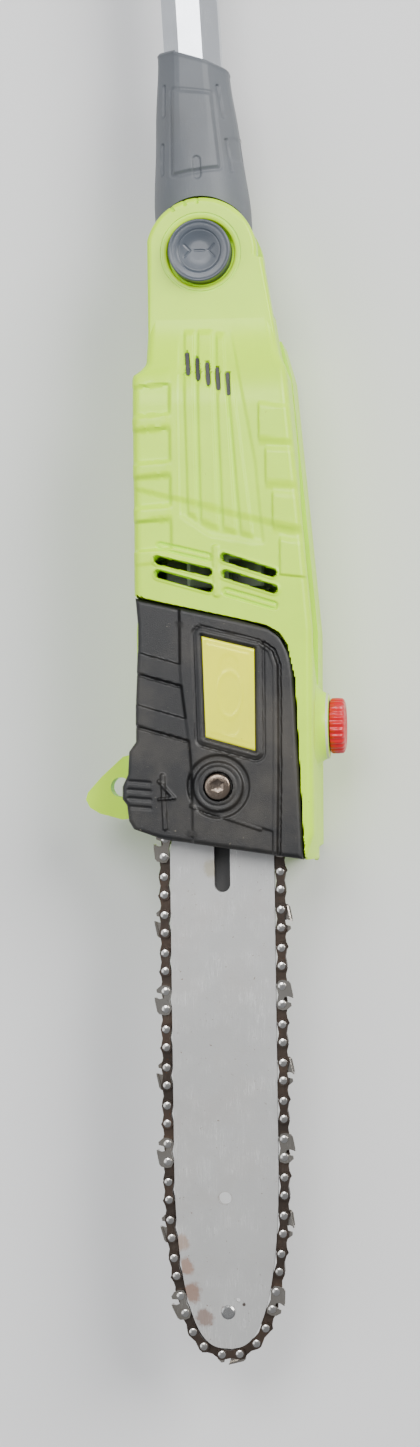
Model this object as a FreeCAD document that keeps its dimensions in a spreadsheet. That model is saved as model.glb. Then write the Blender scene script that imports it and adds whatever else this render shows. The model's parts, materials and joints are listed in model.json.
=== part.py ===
import FreeCAD, Part
import Sketcher
import math
import os
import re

# Telescoping pole saw, millimetres, lying on its side on the floor.
# Head frame: X = 0 on the bar's centre line, Y = 0 at the tilt pivot, the bar points to -Y, Z = 0 is the
# floor and the sprocket cover faces up.  Pole frame: the same, but X = 0 on the pole's own axis, which
# passes through the pivot and leans by pole_lean from the bar's direction.  At the end every node gets
# a Placement that puts the middle of the whole tool's footprint at X = Y = 0.

DIMS = {
    # shared heights and walls
    "axis_z": 42, "wall": 2.5, "gap": 0.3, "fit": 0.05, "shell_top": 82, "shelf_z": 58,
    # tilt knuckle
    "pivot_x": -6, "pole_lean": 2.8, "ear_radius": 28, "ear_top": 70, "ear_bottom": 14, "ear_cheek": 12.5,
    "tongue_radius": 23.5, "tongue_half": 14, "pin_radius": 4, "button_radius": 15.7, "button_top": 78,
    "well_gap": 1.3,
    # head housing outline
    "left_x": -40.6, "left_low_x": -42.4, "right_rear_x": 37, "right_mid_x": 43.6, "right_low_x": 48.4,
    "rear_y": -42, "shoulder_y": -60, "mid_y": -134, "low_y": -190, "front_y": -296, "nose_y": -304.5,
    "edge_round": 5, "boss_radius": 4.6, "screw_radius": 2, "screw_head": 3.4,
    # cutting bar and chain
    "bar_z": 60, "bar_thick": 4, "bar_half": 26.2, "bar_tail_y": -247, "bar_tip_y": -549, "bar_round_y": -492,
    "slot_half": 4, "slot_end_y": -320.7, "groove_half": 0.75, "groove_depth": 6.5,
    "chain_out": 3.1, "chain_thick": 5.4, "chain_wide": 6.4, "chain_pitch": 9.525,
    "sprocket_teeth": 6, "sprocket_y": -212,
    # motor
    "shaft_radius": 4, "bearing_radius": 11, "bearing_wide": 7, "rear_bearing_y": -54,
    "commutator_y": -76, "commutator_radius": 11, "commutator_long": 14,
    "stator_radius": 27.5, "stator_long": 42, "stator_y": -130, "armature_radius": 19.6, "air_gap": 0.5,
    "slots": 12, "fan_y": -167, "fan_radius": 30, "fan_wide": 15, "fan_blades": 9, "front_bearing_y": -180,
    # bevel drive: the pinion follows the motor shaft, the wheel sits on the spindle
    "pinion_teeth": 8, "wheel_teeth": 32, "wheel_pitch": 22, "tooth_face": 8, "tooth_high": 1.8,
    "spindle_radius": 5, "spindle_bearing": 13,
    # oil
    "tank_top": 44, "cap_y": -237.9, "cap_z": 45, "cap_radius": 14.1, "neck_x": 54, "cap_x": 62.2,
    "neck_radius": 15.2, "neck_bore": 9,
    # cover clamp
    "clamp_y": -267.6, "stud_radius": 4, "cover_bottom": 58.4, "cover_top": 83.5,
    # pole
    "tube_across": 28.6, "tube_wall": 1.6, "tube_gap": 0.45, "tube_start": 36, "inner_short": 49,
    "outer_start": 250, "outer_long": 890, 
    # collar
    "mouth_y": 104.5, "mouth_radius": 17.8, "collar_radius": 24.6, "collar_low_y": 16,
    # clamp on the outer tube
    "clamp_from": 232, "clamp_long": 62, "clamp_wall": 4.5, "lever_long": 58,
    # grip, eye and rear handle
    "foam_before": 420, "foam_long": 250, "foam_wall": 5.5, "eye_before": 100, "eye_wide": 16, "eye_radius": 9,
        "eye_thick": 8,
    "tube_in_handle": 110, "handle_long": 360, "handle_half": 25, "grip_wide": 36, "guard_wide": 17,
    "guard_x": -74, "foot_radius": 5.2, "trigger_in": 138, "trigger_long": 52,
}

# sizes that follow from the ones above
FOLLOWS = {
    "button_well": "button_radius + well_gap",
    "inner_long": "outer_start + outer_long - inner_short - tube_start",
    "handle_from": "outer_start + outer_long - tube_in_handle",
    "trigger_y": "handle_from + trigger_in",
    "eye_y": "handle_from - eye_before",
    "foam_from": "handle_from - foam_before",
}

doc = FreeCAD.newDocument("pole_saw")
sheet = doc.addObject("Spreadsheet::Sheet", "Dims")
CELLS = {**DIMS, **{alias: f"={formula}" for alias, formula in FOLLOWS.items()}}
for row, (alias, value) in enumerate(CELLS.items(), start=1):
    sheet.set(f"A{row}", alias)
    sheet.set(f"B{row}", str(value))
    sheet.setAlias(f"B{row}", alias)
doc.recompute()

ALIAS = re.compile(r"[a-z][a-z_0-9]*")
NODES = []


def words(formula):
    """A formula with the sheet's name put in front of every alias."""
    return ALIAS.sub(lambda hit: "Dims." + hit.group() if hit.group() in CELLS else hit.group(), str(formula))


def num(formula):
    """The formula's value now, worked out by name from the sheet's cells."""
    total = sheet.evalExpression(words(formula).replace("Dims.", ""))
    return float(getattr(total, "Value", total))


def bind(thing, path, formula):
    """Tie one property of a feature to a formula of the sheet's values."""
    thing.setExpression(path, words(formula))


def place(thing, at, turn=None):
    """Turn a feature and tie its position to three formulas."""
    if turn:
        thing.Placement = FreeCAD.Placement(FreeCAD.Vector(), turn)
    for axis, formula in zip("xyz", at):
        bind(thing, f"Placement.Base.{axis}", formula)
    return thing


TURN = {"X": FreeCAD.Rotation(FreeCAD.Vector(0, 1, 0), 90), "Y": FreeCAD.Rotation(FreeCAD.Vector(1, 0, 0), -90),
        "Z": None}



def box(name, x, y, z):
    """A block between three pairs of formulas."""
    made = doc.addObject("Part::Box", name)
    for prop, (low, high) in zip(("Length", "Width", "Height"), (x, y, z)):
        bind(made, prop, f"({high}) - ({low})")
    return place(made, (x[0], y[0], z[0]))


def rod(name, axis, at, radius, length):
    """A cylinder that starts at a point and runs along an axis."""
    made = doc.addObject("Part::Cylinder", name)
    bind(made, "Radius", radius)
    bind(made, "Height", length)
    return place(made, at, TURN[axis])


def sketch_on(body, role, points):
    """A closed polygon sketch on one of the body's own planes, each corner tied to two formulas."""
    plane = [item for item in body.Origin.OriginFeatures if item.Role == role][0]
    sketch = body.newObject("Sketcher::SketchObject", body.Name + "_outline")
    sketch.AttachmentSupport = [(plane, "")]
    sketch.MapMode = "FlatFace"
    flat = [FreeCAD.Vector(num(across), num(up), 0) for across, up in points]
    count = len(flat)
    sketch.addGeometry([Part.LineSegment(flat[i], flat[(i + 1) % count]) for i in range(count)], False)
    for i in range(count):
        sketch.addConstraint(Sketcher.Constraint("Coincident", i, 2, (i + 1) % count, 1))
    for i, (across, up) in enumerate(points):
        for kind, formula, value in (("DistanceX", across, flat[i].x), ("DistanceY", up, flat[i].y)):
            tied = sketch.addConstraint(Sketcher.Constraint(kind, -1, 1, i, 1, value))
            sketch.setExpression(f"Constraints[{tied}]", words(formula))
    return sketch


def plate(name, points, low, high):
    """A polygon in plan, padded from one height to another."""
    body = doc.addObject("PartDesign::Body", name)
    sketch = sketch_on(body, "XY_Plane", points)
    bind(sketch, "AttachmentOffset.Base.z", low)
    pad = body.newObject("PartDesign::Pad", name + "_pad")
    pad.Profile = sketch
    bind(pad, "Length", f"({high}) - ({low})")
    return body


def turned(name, axis, at, points):
    """A lathe-turned solid: corners are (radius, distance along the axis) from a point on the axis."""
    body = doc.addObject("PartDesign::Body", name)
    role, line = {"Z": ("XZ_Plane", "V_Axis"), "Y": ("XY_Plane", "V_Axis"),
                  "X": ("XY_Plane", "H_Axis")}[axis]
    if axis == "X":
        points = [(along, radius) for radius, along in points]
    sketch = sketch_on(body, role, points)
    turn = body.newObject("PartDesign::Revolution", name + "_turn")
    turn.Profile = sketch
    turn.ReferenceAxis = (sketch, [line])
    turn.Angle = 360
    return place(body, at)


def cut(name, base, *tools):
    """One solid less others."""
    made = doc.addObject("Part::Cut", name)
    made.Base = base
    made.Tool = tools[0] if len(tools) == 1 else fuse(name + "_tools", *tools)
    return made


def fuse(name, *solids):
    """Several solids as one."""
    made = doc.addObject("Part::MultiFuse", name)
    made.Shapes = list(solids)
    made.Refine = True
    return made


def common(name, first, second):
    """What two solids share."""
    made = doc.addObject("Part::MultiCommon", name)
    made.Shapes = [first, second]
    return made


def bevelled(name, base, amount, wanted, kind="Part::Fillet"):
    """A solid with the edges that pass a test rounded or bevelled."""
    doc.recompute()
    made = doc.addObject(kind, name)
    made.Base = base
    made.Edges = [(i, amount, amount) for i, edge in enumerate(base.Shape.Edges, start=1) if wanted(edge)]
    return made


def node(side, label, solid):
    """Record a finished sub-part: the side says which frame it was drawn in."""
    solid.Label = label
    NODES.append((side, solid))
    return solid


# ---- head housing -------------------------------------------------------------------------------

OUTLINE = [("left_x + 8", "rear_y"), ("left_x", "shoulder_y"), ("left_x", "low_y + 18"),
           ("left_low_x", "low_y"),
           ("left_low_x", "front_y + 12"), ("left_low_x + 12", "front_y"), ("right_low_x - 9", "nose_y"),
           ("right_low_x - 1", "nose_y + 6"), ("right_low_x", "low_y"), ("right_mid_x", "mid_y"),
           ("right_rear_x", "shoulder_y"), ("right_rear_x - 5", "rear_y")]
INSIDE = [("left_x + 8 + wall", "rear_y - wall"), ("left_x + wall", "shoulder_y - 1"),
          ("left_x + wall", "low_y + 18"), ("left_low_x + wall", "low_y"),
          ("left_low_x + wall", "front_y + 14"),
          ("left_low_x + 13", "front_y + wall"), ("right_low_x - 11", "nose_y + 4"),
          ("right_low_x - wall - 1", "nose_y + 8"), ("right_low_x - wall", "low_y"),
          ("right_mid_x - wall", "mid_y"), ("right_rear_x - wall", "shoulder_y - 1"),
          ("right_rear_x - 5 - wall", "rear_y - wall")]
EAR = [("pivot_x - ear_radius + 1.5", "0"), ("pivot_x - ear_radius + 1", "rear_y - 6"),
       ("right_rear_x - 5", "rear_y - 6"), ("right_rear_x - 11", "rear_y + 6"),
       ("pivot_x + ear_radius - 0.2", "-4"), ("pivot_x + 20", "12"), ("pivot_x", "20")]
COVER = [("-40.3", "low_y + 17"), ("12", "low_y + 5"), ("27", "low_y + 1"), ("35", "low_y - 8"),
         ("38.5", "low_y - 24"), ("41.3", "nose_y + 20"), ("42", "nose_y"), ("-29", "front_y + 3"),
         ("-42", "front_y + 7"), ("-46", "front_y + 20"), ("-48.2", "front_y + 28"), ("-45", "front_y + 36"),
         ("-41", "front_y + 52"), ("-39.3", "low_y - 9")]
MOTOR_BOSSES = [("left_x + wall + 5", "-84"), ("right_rear_x - wall - 3.4", "-84"),
                ("left_x + wall + 5", "-148"), ("right_mid_x - wall - 5.2", "-152")]
BOSSES = MOTOR_BOSSES + [("left_low_x + wall + 5", "-240"), ("right_low_x - 8.5", "-205")]


def grown(points, amount):
    """The cover's outline pushed out from its middle by a gap."""
    middle = [sum(num(p[k]) for p in points) / len(points) for k in (0, 1)]
    signs = [["+" if num(p[k]) > middle[k] else "-" for k in (0, 1)] for p in points]
    return [(f"{p[0]} {s[0]} {amount}", f"{p[1]} {s[1]} {amount}") for p, s in zip(points, signs)]


def is_low_rim(edge):
    """The long edges round the floor face of the lower shell."""
    box_of = edge.BoundBox
    return box_of.ZMax < 0.01 and box_of.DiagonalLength > 6


def is_high_rim(edge):
    """The long edges round the top face of the upper shell."""
    box_of = edge.BoundBox
    return box_of.ZMin > num("shell_top") - 0.01 and box_of.DiagonalLength > 6


def ear(name, low, high):
    """One cheek of the tilt clevis: a round lug blended into the housing's rear."""
    straight = plate(name + "_root", EAR, low, high)
    lug = rod(name + "_lug", "Z", ("pivot_x", "0", low), "ear_radius", f"({high}) - ({low})")
    return fuse(name, straight, lug)


def bosses(name, low, high, radius, spots=BOSSES):
    """The screw bosses or holes that stand along both sides of the housing."""
    return [rod(f"{name}_{i}", "Z", (x, y, low), radius, f"({high}) - ({low})") for i,
            (x, y) in enumerate(spots)]


def seats(name, low, high):
    """Ribs across the housing that hold the rear bearing and the stator."""
    ribs = [box(f"{name}_bearing_rib", ("-17", "17"), ("rear_bearing_y + 1.5", "rear_bearing_y + 5.5"),
                (low, high))]
    for i, along in enumerate(("stator_y + 5", "stator_y + stator_long - 9")):
        ribs.append(box(f"{name}_stator_rib_{i}", ("left_x + 1", "right_mid_x - 8 + 4 * %d" % (1 - 2 * i)),
                        (along, f"{along} + 4"), (low, high)))
    return ribs


def motor_space(name):
    """The room that the motor's round parts take out of the ribs."""
    return [rod(name + "_bearing", "Y", ("0", "rear_bearing_y", "axis_z"), "bearing_radius + fit",
                "bearing_wide"),
            rod(name + "_stator", "Y", ("0", "stator_y - 8", "axis_z"), "stator_radius + fit",
                "stator_long + 20")]


def lower_shell():
    """Motor-side half of the head: floor, walls, lower cheek, bosses, ribs and an air grille."""
    outer = bevelled("lower_round", plate("lower_outer", OUTLINE, "0", "axis_z"), num("edge_round"),
                     is_low_rim)
    body = fuse("lower_body", outer, ear("lower_ear", "ear_bottom", "ear_bottom + ear_cheek"))
    hollow = cut("lower_hollow", body, plate("lower_inside", INSIDE, "wall", "axis_z + 1"))
    ribs = fuse("lower_ribs", *bosses("lower_boss", "wall - 0.5", "axis_z", "boss_radius"),
                *seats("lower_seat", "wall - 0.5", "axis_z"))
    filled = fuse("lower_filled", hollow, cut("lower_ribs_cut", ribs, *motor_space("lower_motor")))
    vents = [box(f"lower_vent_{i}", ("-22", "22"), (f"-66 - 7 * {i}", f"-63 - 7 * {i}"), ("-1", "wall + 1"))
             for i in range(3)]
    holes = bosses("lower_hole", "-1", "axis_z + 1", "screw_radius + fit")
    sinks = bosses("lower_sink", "-1", "8", "screw_head + gap")
    pin = rod("lower_pin_hole", "Z", ("pivot_x", "0", "ear_bottom - 1"), "pin_radius + fit / 2",
              "ear_cheek + 2")
    neck = rod("lower_neck_hole", "X", ("20", "cap_y", "cap_z"), "neck_radius - 2 + gap", "50")
    return node("head", "housing_motor_side", cut("lower_shell", filled, pin, neck, *vents, *holes, *sinks))


def upper_shell():
    """Bar-side half of the head: top, walls, upper cheek, the pocket for the cover and the bar shelf."""
    high = bevelled("upper_round", plate("upper_outer", OUTLINE, "axis_z", "shell_top"), num("edge_round"),
                    is_high_rim)
    body = fuse("upper_body", high, ear("upper_ear", "ear_top - ear_cheek", "ear_top"))
    pocket = plate("upper_pocket", grown(COVER, "gap"), "shelf_z", "shell_top + 1")
    nose = box("upper_nose", ("left_low_x - 1", "right_low_x + 1"), ("nose_y - 1", "nose_y + 16"),
               ("shelf_z", "shell_top + 1"))
    rear = [point if i not in (2, 3, 4, 5, 6, 7, 8) else None for i, point in enumerate(INSIDE)]
    rear = [point for point in rear if point]
    rear[2:2] = [("left_x + wall", "low_y + 21"), ("right_mid_x - wall", "low_y + 10")]
    motor = plate("upper_motor_room", rear, "axis_z - 1", "shell_top - wall")
    drive = plate("upper_drive_room", INSIDE, "axis_z - 1", "shelf_z - wall")
    hollow = cut("upper_hollow", body, pocket, nose, motor, drive)
    ribs = fuse("upper_ribs", *bosses("upper_boss", "axis_z", "shelf_z - 1", "boss_radius"),
                *bosses("upper_post", "shelf_z - 2", "shell_top - 2", "boss_radius", MOTOR_BOSSES),
                *seats("upper_seat", "axis_z", "shell_top - 2"))
    filled = fuse("upper_filled", hollow, cut("upper_ribs_cut", ribs, *motor_space("upper_motor")))
    vents = []
    for i in range(2):
        for k, across in enumerate((("-29", "-3"), ("4", "30"))):
            vents.append(box(f"upper_vent_{i}_{k}", across, (f"-157 - 7.5 * {i}", f"-153.6 - 7.5 * {i}"),
                             ("shell_top - 4", "shell_top + 1")))
    for i in range(5):
        vents.append(box(f"upper_slit_{i}", (f"-13.5 + 5.1 * {i}", f"-11.5 + 5.1 * {i}"),
                         (f"-63 - 2.6 * {i}", f"-51.5 - 2.6 * {i}"), ("shell_top - 4", "shell_top + 1")))
    holes = bosses("upper_hole", "axis_z - 1", "shelf_z - 3", "screw_radius + fit")
    well = rod("upper_well", "Z", ("pivot_x", "0", "ear_top - ear_cheek - 1"), "button_well",
               "ear_cheek + 2")
    bearing = rod("upper_spindle_hole", "Z", ("0", "sprocket_y", "axis_z"), "spindle_bearing + 1", "20")
    neck = rod("upper_neck_hole", "X", ("20", "cap_y", "cap_z"), "neck_radius - 2 + gap", "50")
    stud = rod("upper_stud_hole", "Z", ("0", "clamp_y", "axis_z"), "stud_radius + fit", "20")
    pipe = rod("upper_pipe_hole", "Z", ("-26", "clamp_y + 14", "axis_z"), "2.2", "20")
    return node("head", "housing_bar_side",
                cut("upper_shell", filled, well, bearing, neck, stud, pipe, *vents, *holes))


def housing_screws():
    """Six pan-head screws that go up through the lower shell's bosses."""
    made = []
    for i, (x, y) in enumerate(BOSSES):
        made.append(turned(f"housing_screw_{i}", "Z", (x, y, "5"),
                           [("0", "0"), ("screw_head", "0"), ("screw_head", "3"), ("screw_radius", "3"),
                            ("screw_radius", "46"), ("0", "48")]))
    return node("head", "housing_screws", fuse("screws_all", *made))


def sprocket_cover():
    """Cover over the sprocket and the bar's tail: a lid with a rim, a clamp boss and a deep inside."""
    outer = plate("cover_outer", COVER, "cover_bottom", "cover_top")
    outer = bevelled("cover_round", outer, 1.6, lambda e: e.BoundBox.ZMin > num("cover_top") - 0.01)
    room = plate("cover_room", grown(COVER, "0 - 2.6"), "cover_bottom - 1", "cover_top - 3")
    exit_way = box("cover_exit", ("0 - bar_half - 9", "bar_half + 9"), ("nose_y - 2", "nose_y + 12"),
                   ("cover_bottom - 1", "72"))
    boss = rod("cover_boss", "Z", ("0", "clamp_y", "bar_z + bar_thick"), "9",
               "cover_top - bar_z - bar_thick")
    filled = fuse("cover_filled", cut("cover_hollow", outer, room, exit_way), boss)
    sink = rod("cover_sink", "Z", ("0", "clamp_y", "cover_top - 3.2"), "7", "5")
    hole = rod("cover_hole", "Z", ("0", "clamp_y", "50"), "stud_radius + fit", "40")
    badge = plate("cover_badge_seat", BADGE, "cover_top - 0.8", "cover_top + 1")
    return node("head", "sprocket_cover", cut("cover", filled, sink, hole, badge))


BADGE = [("-7.1", "-192.5"), ("19.4", "-199.3"), ("19.2", "-250.6"), ("-5.8", "-243.4")]


def badge_plate():
    """Plain metallic plate let into the cover."""
    inner = [("-6.8", "-193"), ("19", "-199.8"), ("18.8", "-250"), ("-5.5", "-243")]
    return node("head", "badge_plate", plate("badge", inner, "cover_top - 0.8", "cover_top - 0.1"))


def cover_screw():
    """Socket-head screw that clamps the cover and the bar on the stud's axis."""
    body = turned("cover_screw_body", "Z", ("0", "clamp_y", "cover_top"),
                  [("0", "-32"), ("stud_radius", "-32"), ("stud_radius", "-3.2"), ("6.5", "-3.2"),
                   ("6.5", "0"),
                   ("0", "0")])
    tip = rod("cover_screw_recess", "Z", ("0", "clamp_y", "cover_top - 2"), "2.6", "4")
    return node("head", "cover_screw", cut("cover_screw_cut", body, tip))


def clamp_nut():
    """Flanged nut under the bar shelf that the cover screw pulls on."""
    body = rod("clamp_nut_body", "Z", ("0", "clamp_y", "46"), "8", "9")
    bore = rod("clamp_nut_bore", "Z", ("0", "clamp_y", "45"), "stud_radius + fit", "12")
    return node("head", "clamp_nut", cut("clamp_nut_cut", body, bore))


def bar_pad():
    """Steel wear plate under the bar, with a guide block that fits the bar's slot."""
    pad = box("bar_pad_plate", ("-19", "19"), ("clamp_y - 26", "clamp_y + 16"), ("shelf_z", "bar_z"))
    guide = box("bar_pad_guide", ("fit - slot_half", "slot_half - fit"), ("clamp_y - 14", "clamp_y + 6"),
                ("bar_z", "bar_z + bar_thick - 0.3"))
    bore = rod("bar_pad_bore", "Z", ("0", "clamp_y", "50"), "stud_radius + fit", "20")
    return node("head", "bar_pad", cut("bar_pad_cut", fuse("bar_pad_body", pad, guide), bore))


def branch_hook():
    """Flat hook on the under side that pulls cut branches down."""
    points = [("left_low_x - 0.1", "-250"), ("-51", "-252"), ("-62", "-262"), ("-69.2", "-270"),
              ("-70.3", "-273.5"),
              ("-68.3", "-277.6"), ("-63.3", "-280.7"), ("-51.7", "-283.9"), ("left_low_x - 0.1", "-283")]
    outer = plate("hook_outer", points, "37", "51")
    notch = rod("hook_notch", "Z", ("-52.5", "-267.5", "30"), "5", "30")
    return node("head", "branch_hook", cut("hook", outer, notch))


# ---- bar, chain and drive -----------------------------------------------------------------------


def feature(name, shape):
    """A solid worked out in code, for outlines that no sketch polygon can follow."""
    made = doc.addObject("Part::Feature", name)
    made.Shape = shape
    return made


def nose_curve(grow):
    """The bar's nose, grown by an amount: half of a super-ellipse from its +X side round the tip to -X."""
    half = num("bar_half")
    start = num("bar_round_y + 37")
    deep = start - num("bar_tip_y")
    steps = 28
    line = []
    for i in range(steps + 1):
        turn = math.pi * i / steps
        across = half * math.copysign(abs(math.cos(turn)) ** (2 / 2.8), math.cos(turn))
        line.append(FreeCAD.Vector(across, start - deep * abs(math.sin(turn)) ** (2 / 2.2), 0))
    points = [line[0] + FreeCAD.Vector(grow, 0, 0)]
    for before, here, after in zip(line, line[1:], line[2:]):
        along = (after - before).normalize()
        points.append(here + FreeCAD.Vector(-along.y, along.x, 0) * grow)
    points.append(line[-1] - FreeCAD.Vector(grow, 0, 0))
    curve = Part.BSplineCurve()
    curve.interpolate(points)
    return curve.toShape(), points[0], points[-1]


def closed_face(curves, corners):
    """A flat face from some curves and the straight lines through a chain of corners."""
    flat = [FreeCAD.Vector(corner[0], corner[1], 0) for corner in corners]
    sides = [Part.LineSegment(a, b).toShape() for a, b in zip(flat, flat[1:]) if (a - b).Length > 1e-6]
    return Part.Face(Part.Wire(Part.__sortEdges__(curves + sides)))


def bar_outline(grow):
    """The bar's whole outline as a flat face: nose, straight sides and a tapered tail."""
    nose, right, left = nose_curve(grow)
    tail_y, front = num("bar_tail_y"), num("nose_y + 4")
    tail = [(right.x, front), (22 + grow, tail_y - 28), (16.5 + grow, tail_y + grow)]
    mirrored = [(-x, y) for x, y in tail]
    return closed_face([nose], [left] + mirrored + tail[::-1] + [right])


def raised(face, low, high):
    """A flat face padded between two heights."""
    placed = face.copy()
    placed.translate(FreeCAD.Vector(0, 0, low))
    return placed.extrude(FreeCAD.Vector(0, 0, high - low))


def guide_bar():
    """Cutting bar: flat plate with a chain groove all round, an adjusting slot and three small holes."""
    low, thick = num("bar_z"), num("bar_thick")
    plate_shape = raised(bar_outline(0), low, low + thick)
    middle, half = low + thick / 2, num("groove_half")
    outer = raised(bar_outline(1), middle - half, middle + half)
    inner = raised(bar_outline(-num("groove_depth")), middle - half - 1, middle + half + 1)
    whole = feature("bar_plate", plate_shape.cut(outer.cut(inner)))
    slot = [box("bar_slot", ("0 - slot_half", "slot_half"), ("slot_end_y + slot_half", "bar_tail_y - 10"),
                ("bar_z - 1", "bar_z + bar_thick + 1"))]
    for i, along in enumerate(("slot_end_y + slot_half", "bar_tail_y - 10")):
        slot.append(rod(f"bar_slot_end_{i}", "Z", ("0", along, "bar_z - 1"), "slot_half", "bar_thick + 2"))
    for i, (x, y, radius) in enumerate((("-0.8", "-474", "3.2"), ("5", "-525", "1.2"), ("0", "-531", "3.55"),
                                        ("16", "-266", "2.6"), ("-16", "-266", "2.6"))):
        slot.append(rod(f"bar_hole_{i}", "Z", (x, y, "bar_z - 1"), radius, "bar_thick + 2"))
    return node("head", "guide_bar", cut("bar", whole, *slot))


def nose_rivet():
    """Rivet that carries the bar's nose wheel."""
    return node("head", "nose_rivet", turned("rivet", "Z", ("0", "-531", "bar_z"),
                [("0", "0 - 0.5"), ("2.6", "0 - 0.5"), ("3.5", "0"), ("3.5", "bar_thick"),
                 ("2.6", "bar_thick + 0.5"), ("0", "bar_thick + 0.5")]))


def chain_loop(grow):
    """The loop that the chain runs in, grown from the bar's edge: nose, sides, tangents and sprocket arc."""
    nose, right, left = nose_curve(grow)
    pitch = num("chain_pitch") / math.sin(math.pi / num("sprocket_teeth * 2")) / 2
    radius = pitch - num("chain_out") + grow
    front, centre = num("nose_y + 4"), num("sprocket_y")
    across, along = right.x, front - centre
    touch = math.atan2(along, across) + math.acos(radius / math.hypot(across, along))
    spot = FreeCAD.Vector(radius * math.cos(touch), centre + radius * math.sin(touch), 0)
    mirror = FreeCAD.Vector(-spot.x, spot.y, 0)
    arc = Part.Arc(spot, FreeCAD.Vector(0, centre + radius, 0), mirror).toShape()
    lines = [Part.LineSegment(FreeCAD.Vector(*a), FreeCAD.Vector(*b)).toShape()
             for a, b in ((left, (-across, front, 0)), ((-across, front, 0), mirror),
                          (spot, (across, front, 0)),
                          ((across, front, 0), right))]
    return Part.Face(Part.Wire(Part.__sortEdges__([nose, arc] + lines)))


def saw_chain():
    """The chain as one closed band of its links' outer size, clear of the bar's edge and the sprocket."""
    middle, half = num("bar_z + bar_thick / 2"), num("chain_wide") / 2
    inside = num("chain_out") - 2.1
    band = raised(chain_loop(inside + num("chain_thick")), middle - half, middle + half)
    band = band.cut(raised(chain_loop(inside), middle - half - 1, middle + half + 1))
    return node("head", "saw_chain", feature("chain_band", band))


def sprocket():
    """Six-tooth chain sprocket on the spindle."""
    hub = rod("sprocket_hub", "Z", ("0", "sprocket_y", "shelf_z + 0.6"), "9", "bar_thick + 4")
    teeth = [box(f"sprocket_arm_{i}", ("0", "15.6"), ("-2.6", "2.6"),
                 ("bar_z + 0.5", "bar_z + bar_thick - 0.5"))
             for i in range(DIMS["sprocket_teeth"])]
    for i, arm in enumerate(teeth):
        turn = FreeCAD.Rotation(FreeCAD.Vector(0, 0, 1), 360 * i / DIMS["sprocket_teeth"])
        offset = turn.multVec(FreeCAD.Vector(0, -2.6, 0))
        arm.Placement = FreeCAD.Placement(FreeCAD.Vector(), turn)
        place(arm, (f"{offset.x}", f"sprocket_y + {offset.y}", "bar_z + 0.5"))
    bore = rod("sprocket_bore", "Z", ("0", "sprocket_y", "50"), "spindle_radius + fit", "20")
    return node("head", "sprocket", cut("sprocket_cut", fuse("sprocket_body", hub, *teeth), bore))


def spindle():
    """Upright output spindle with a flat-topped end and a clip groove."""
    radius = "spindle_radius"
    return node("head", "spindle", turned("spindle_body", "Z", ("0", "sprocket_y", "0"),
                [("0", "14.5"), (radius, "14.5"), (radius, "shelf_z + bar_thick + 5"),
                 ("spindle_radius - 1", "shelf_z + bar_thick + 5"),
                 ("spindle_radius - 1", "shelf_z + bar_thick + 6.2"), (radius, "shelf_z + bar_thick + 6.2"),
                 (radius, "shelf_z + bar_thick + 9"), ("0", "shelf_z + bar_thick + 9")]))


def ring(name, axis, at, inner, outer, wide):
    """A plain ring, used for every bearing, bush and clip."""
    body = rod(name + "_outer", axis, at, outer, wide)
    start = list(at)
    index = "XYZ".index(axis[-1])
    start[index] = f"{at[index]} {'+' if axis[0] == '-' else '-'} 1"
    bore = rod(name + "_bore", axis, tuple(start), inner, f"{wide} + 2")
    return cut(name + "_ring", body, bore)


def tooth_gap(count, pitch_radius, height):
    """The space between two straight bevel teeth: a trapezoid at the pitch circle, scaled from the apex."""
    step = 2 * math.pi * pitch_radius / count
    low, high = height
    far = num("wheel_pitch")
    corners = [(-step * 0.26, low), (step * 0.26, low), (step * 0.42, high), (-step * 0.42, high)]
    wires = []
    for scale in (1.2, 0.5):
        points = [FreeCAD.Vector(far * scale, across * scale, up * scale) for across, up in corners]
        wires.append(Part.makePolygon(points + [points[0]]))
    return Part.makeLoft(wires, True, True)


def bevel_wheel():
    """Large bevel wheel: a turned blank with straight gaps cut in its upper face, one gap at the pinion."""
    slope = num("pinion_teeth / wheel_teeth")
    outer, face, high = num("wheel_pitch"), num("tooth_face"), num("tooth_high")
    bore = num("spindle_radius + fit")
    inner = outer - face
    profile = [(bore, -12), (outer + 0.3, -12), (outer + 0.3, -slope * outer + high * 0.42),
               (inner, -slope * inner + high * 0.25), (inner, -7), (bore, -7)]
    points = [FreeCAD.Vector(r, 0, z) for r, z in profile]
    body = Part.Face(Part.makePolygon(points + [points[0]])).revolve(FreeCAD.Vector(),
                                                                     FreeCAD.Vector(0, 0, 1), 360)
    teeth = DIMS["wheel_teeth"]
    one = tooth_gap(teeth, outer, (-slope * outer - high * 0.6, -slope * outer + high))
    for i in range(teeth):
        gap = one.copy()
        gap.rotate(FreeCAD.Vector(), FreeCAD.Vector(0, 0, 1), 90 + 360 * i / teeth)
        body = body.cut(gap)
    body.translate(FreeCAD.Vector(0, num("sprocket_y"), num("axis_z")))
    return node("head", "bevel_wheel", feature("bevel_wheel_body", body))


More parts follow.
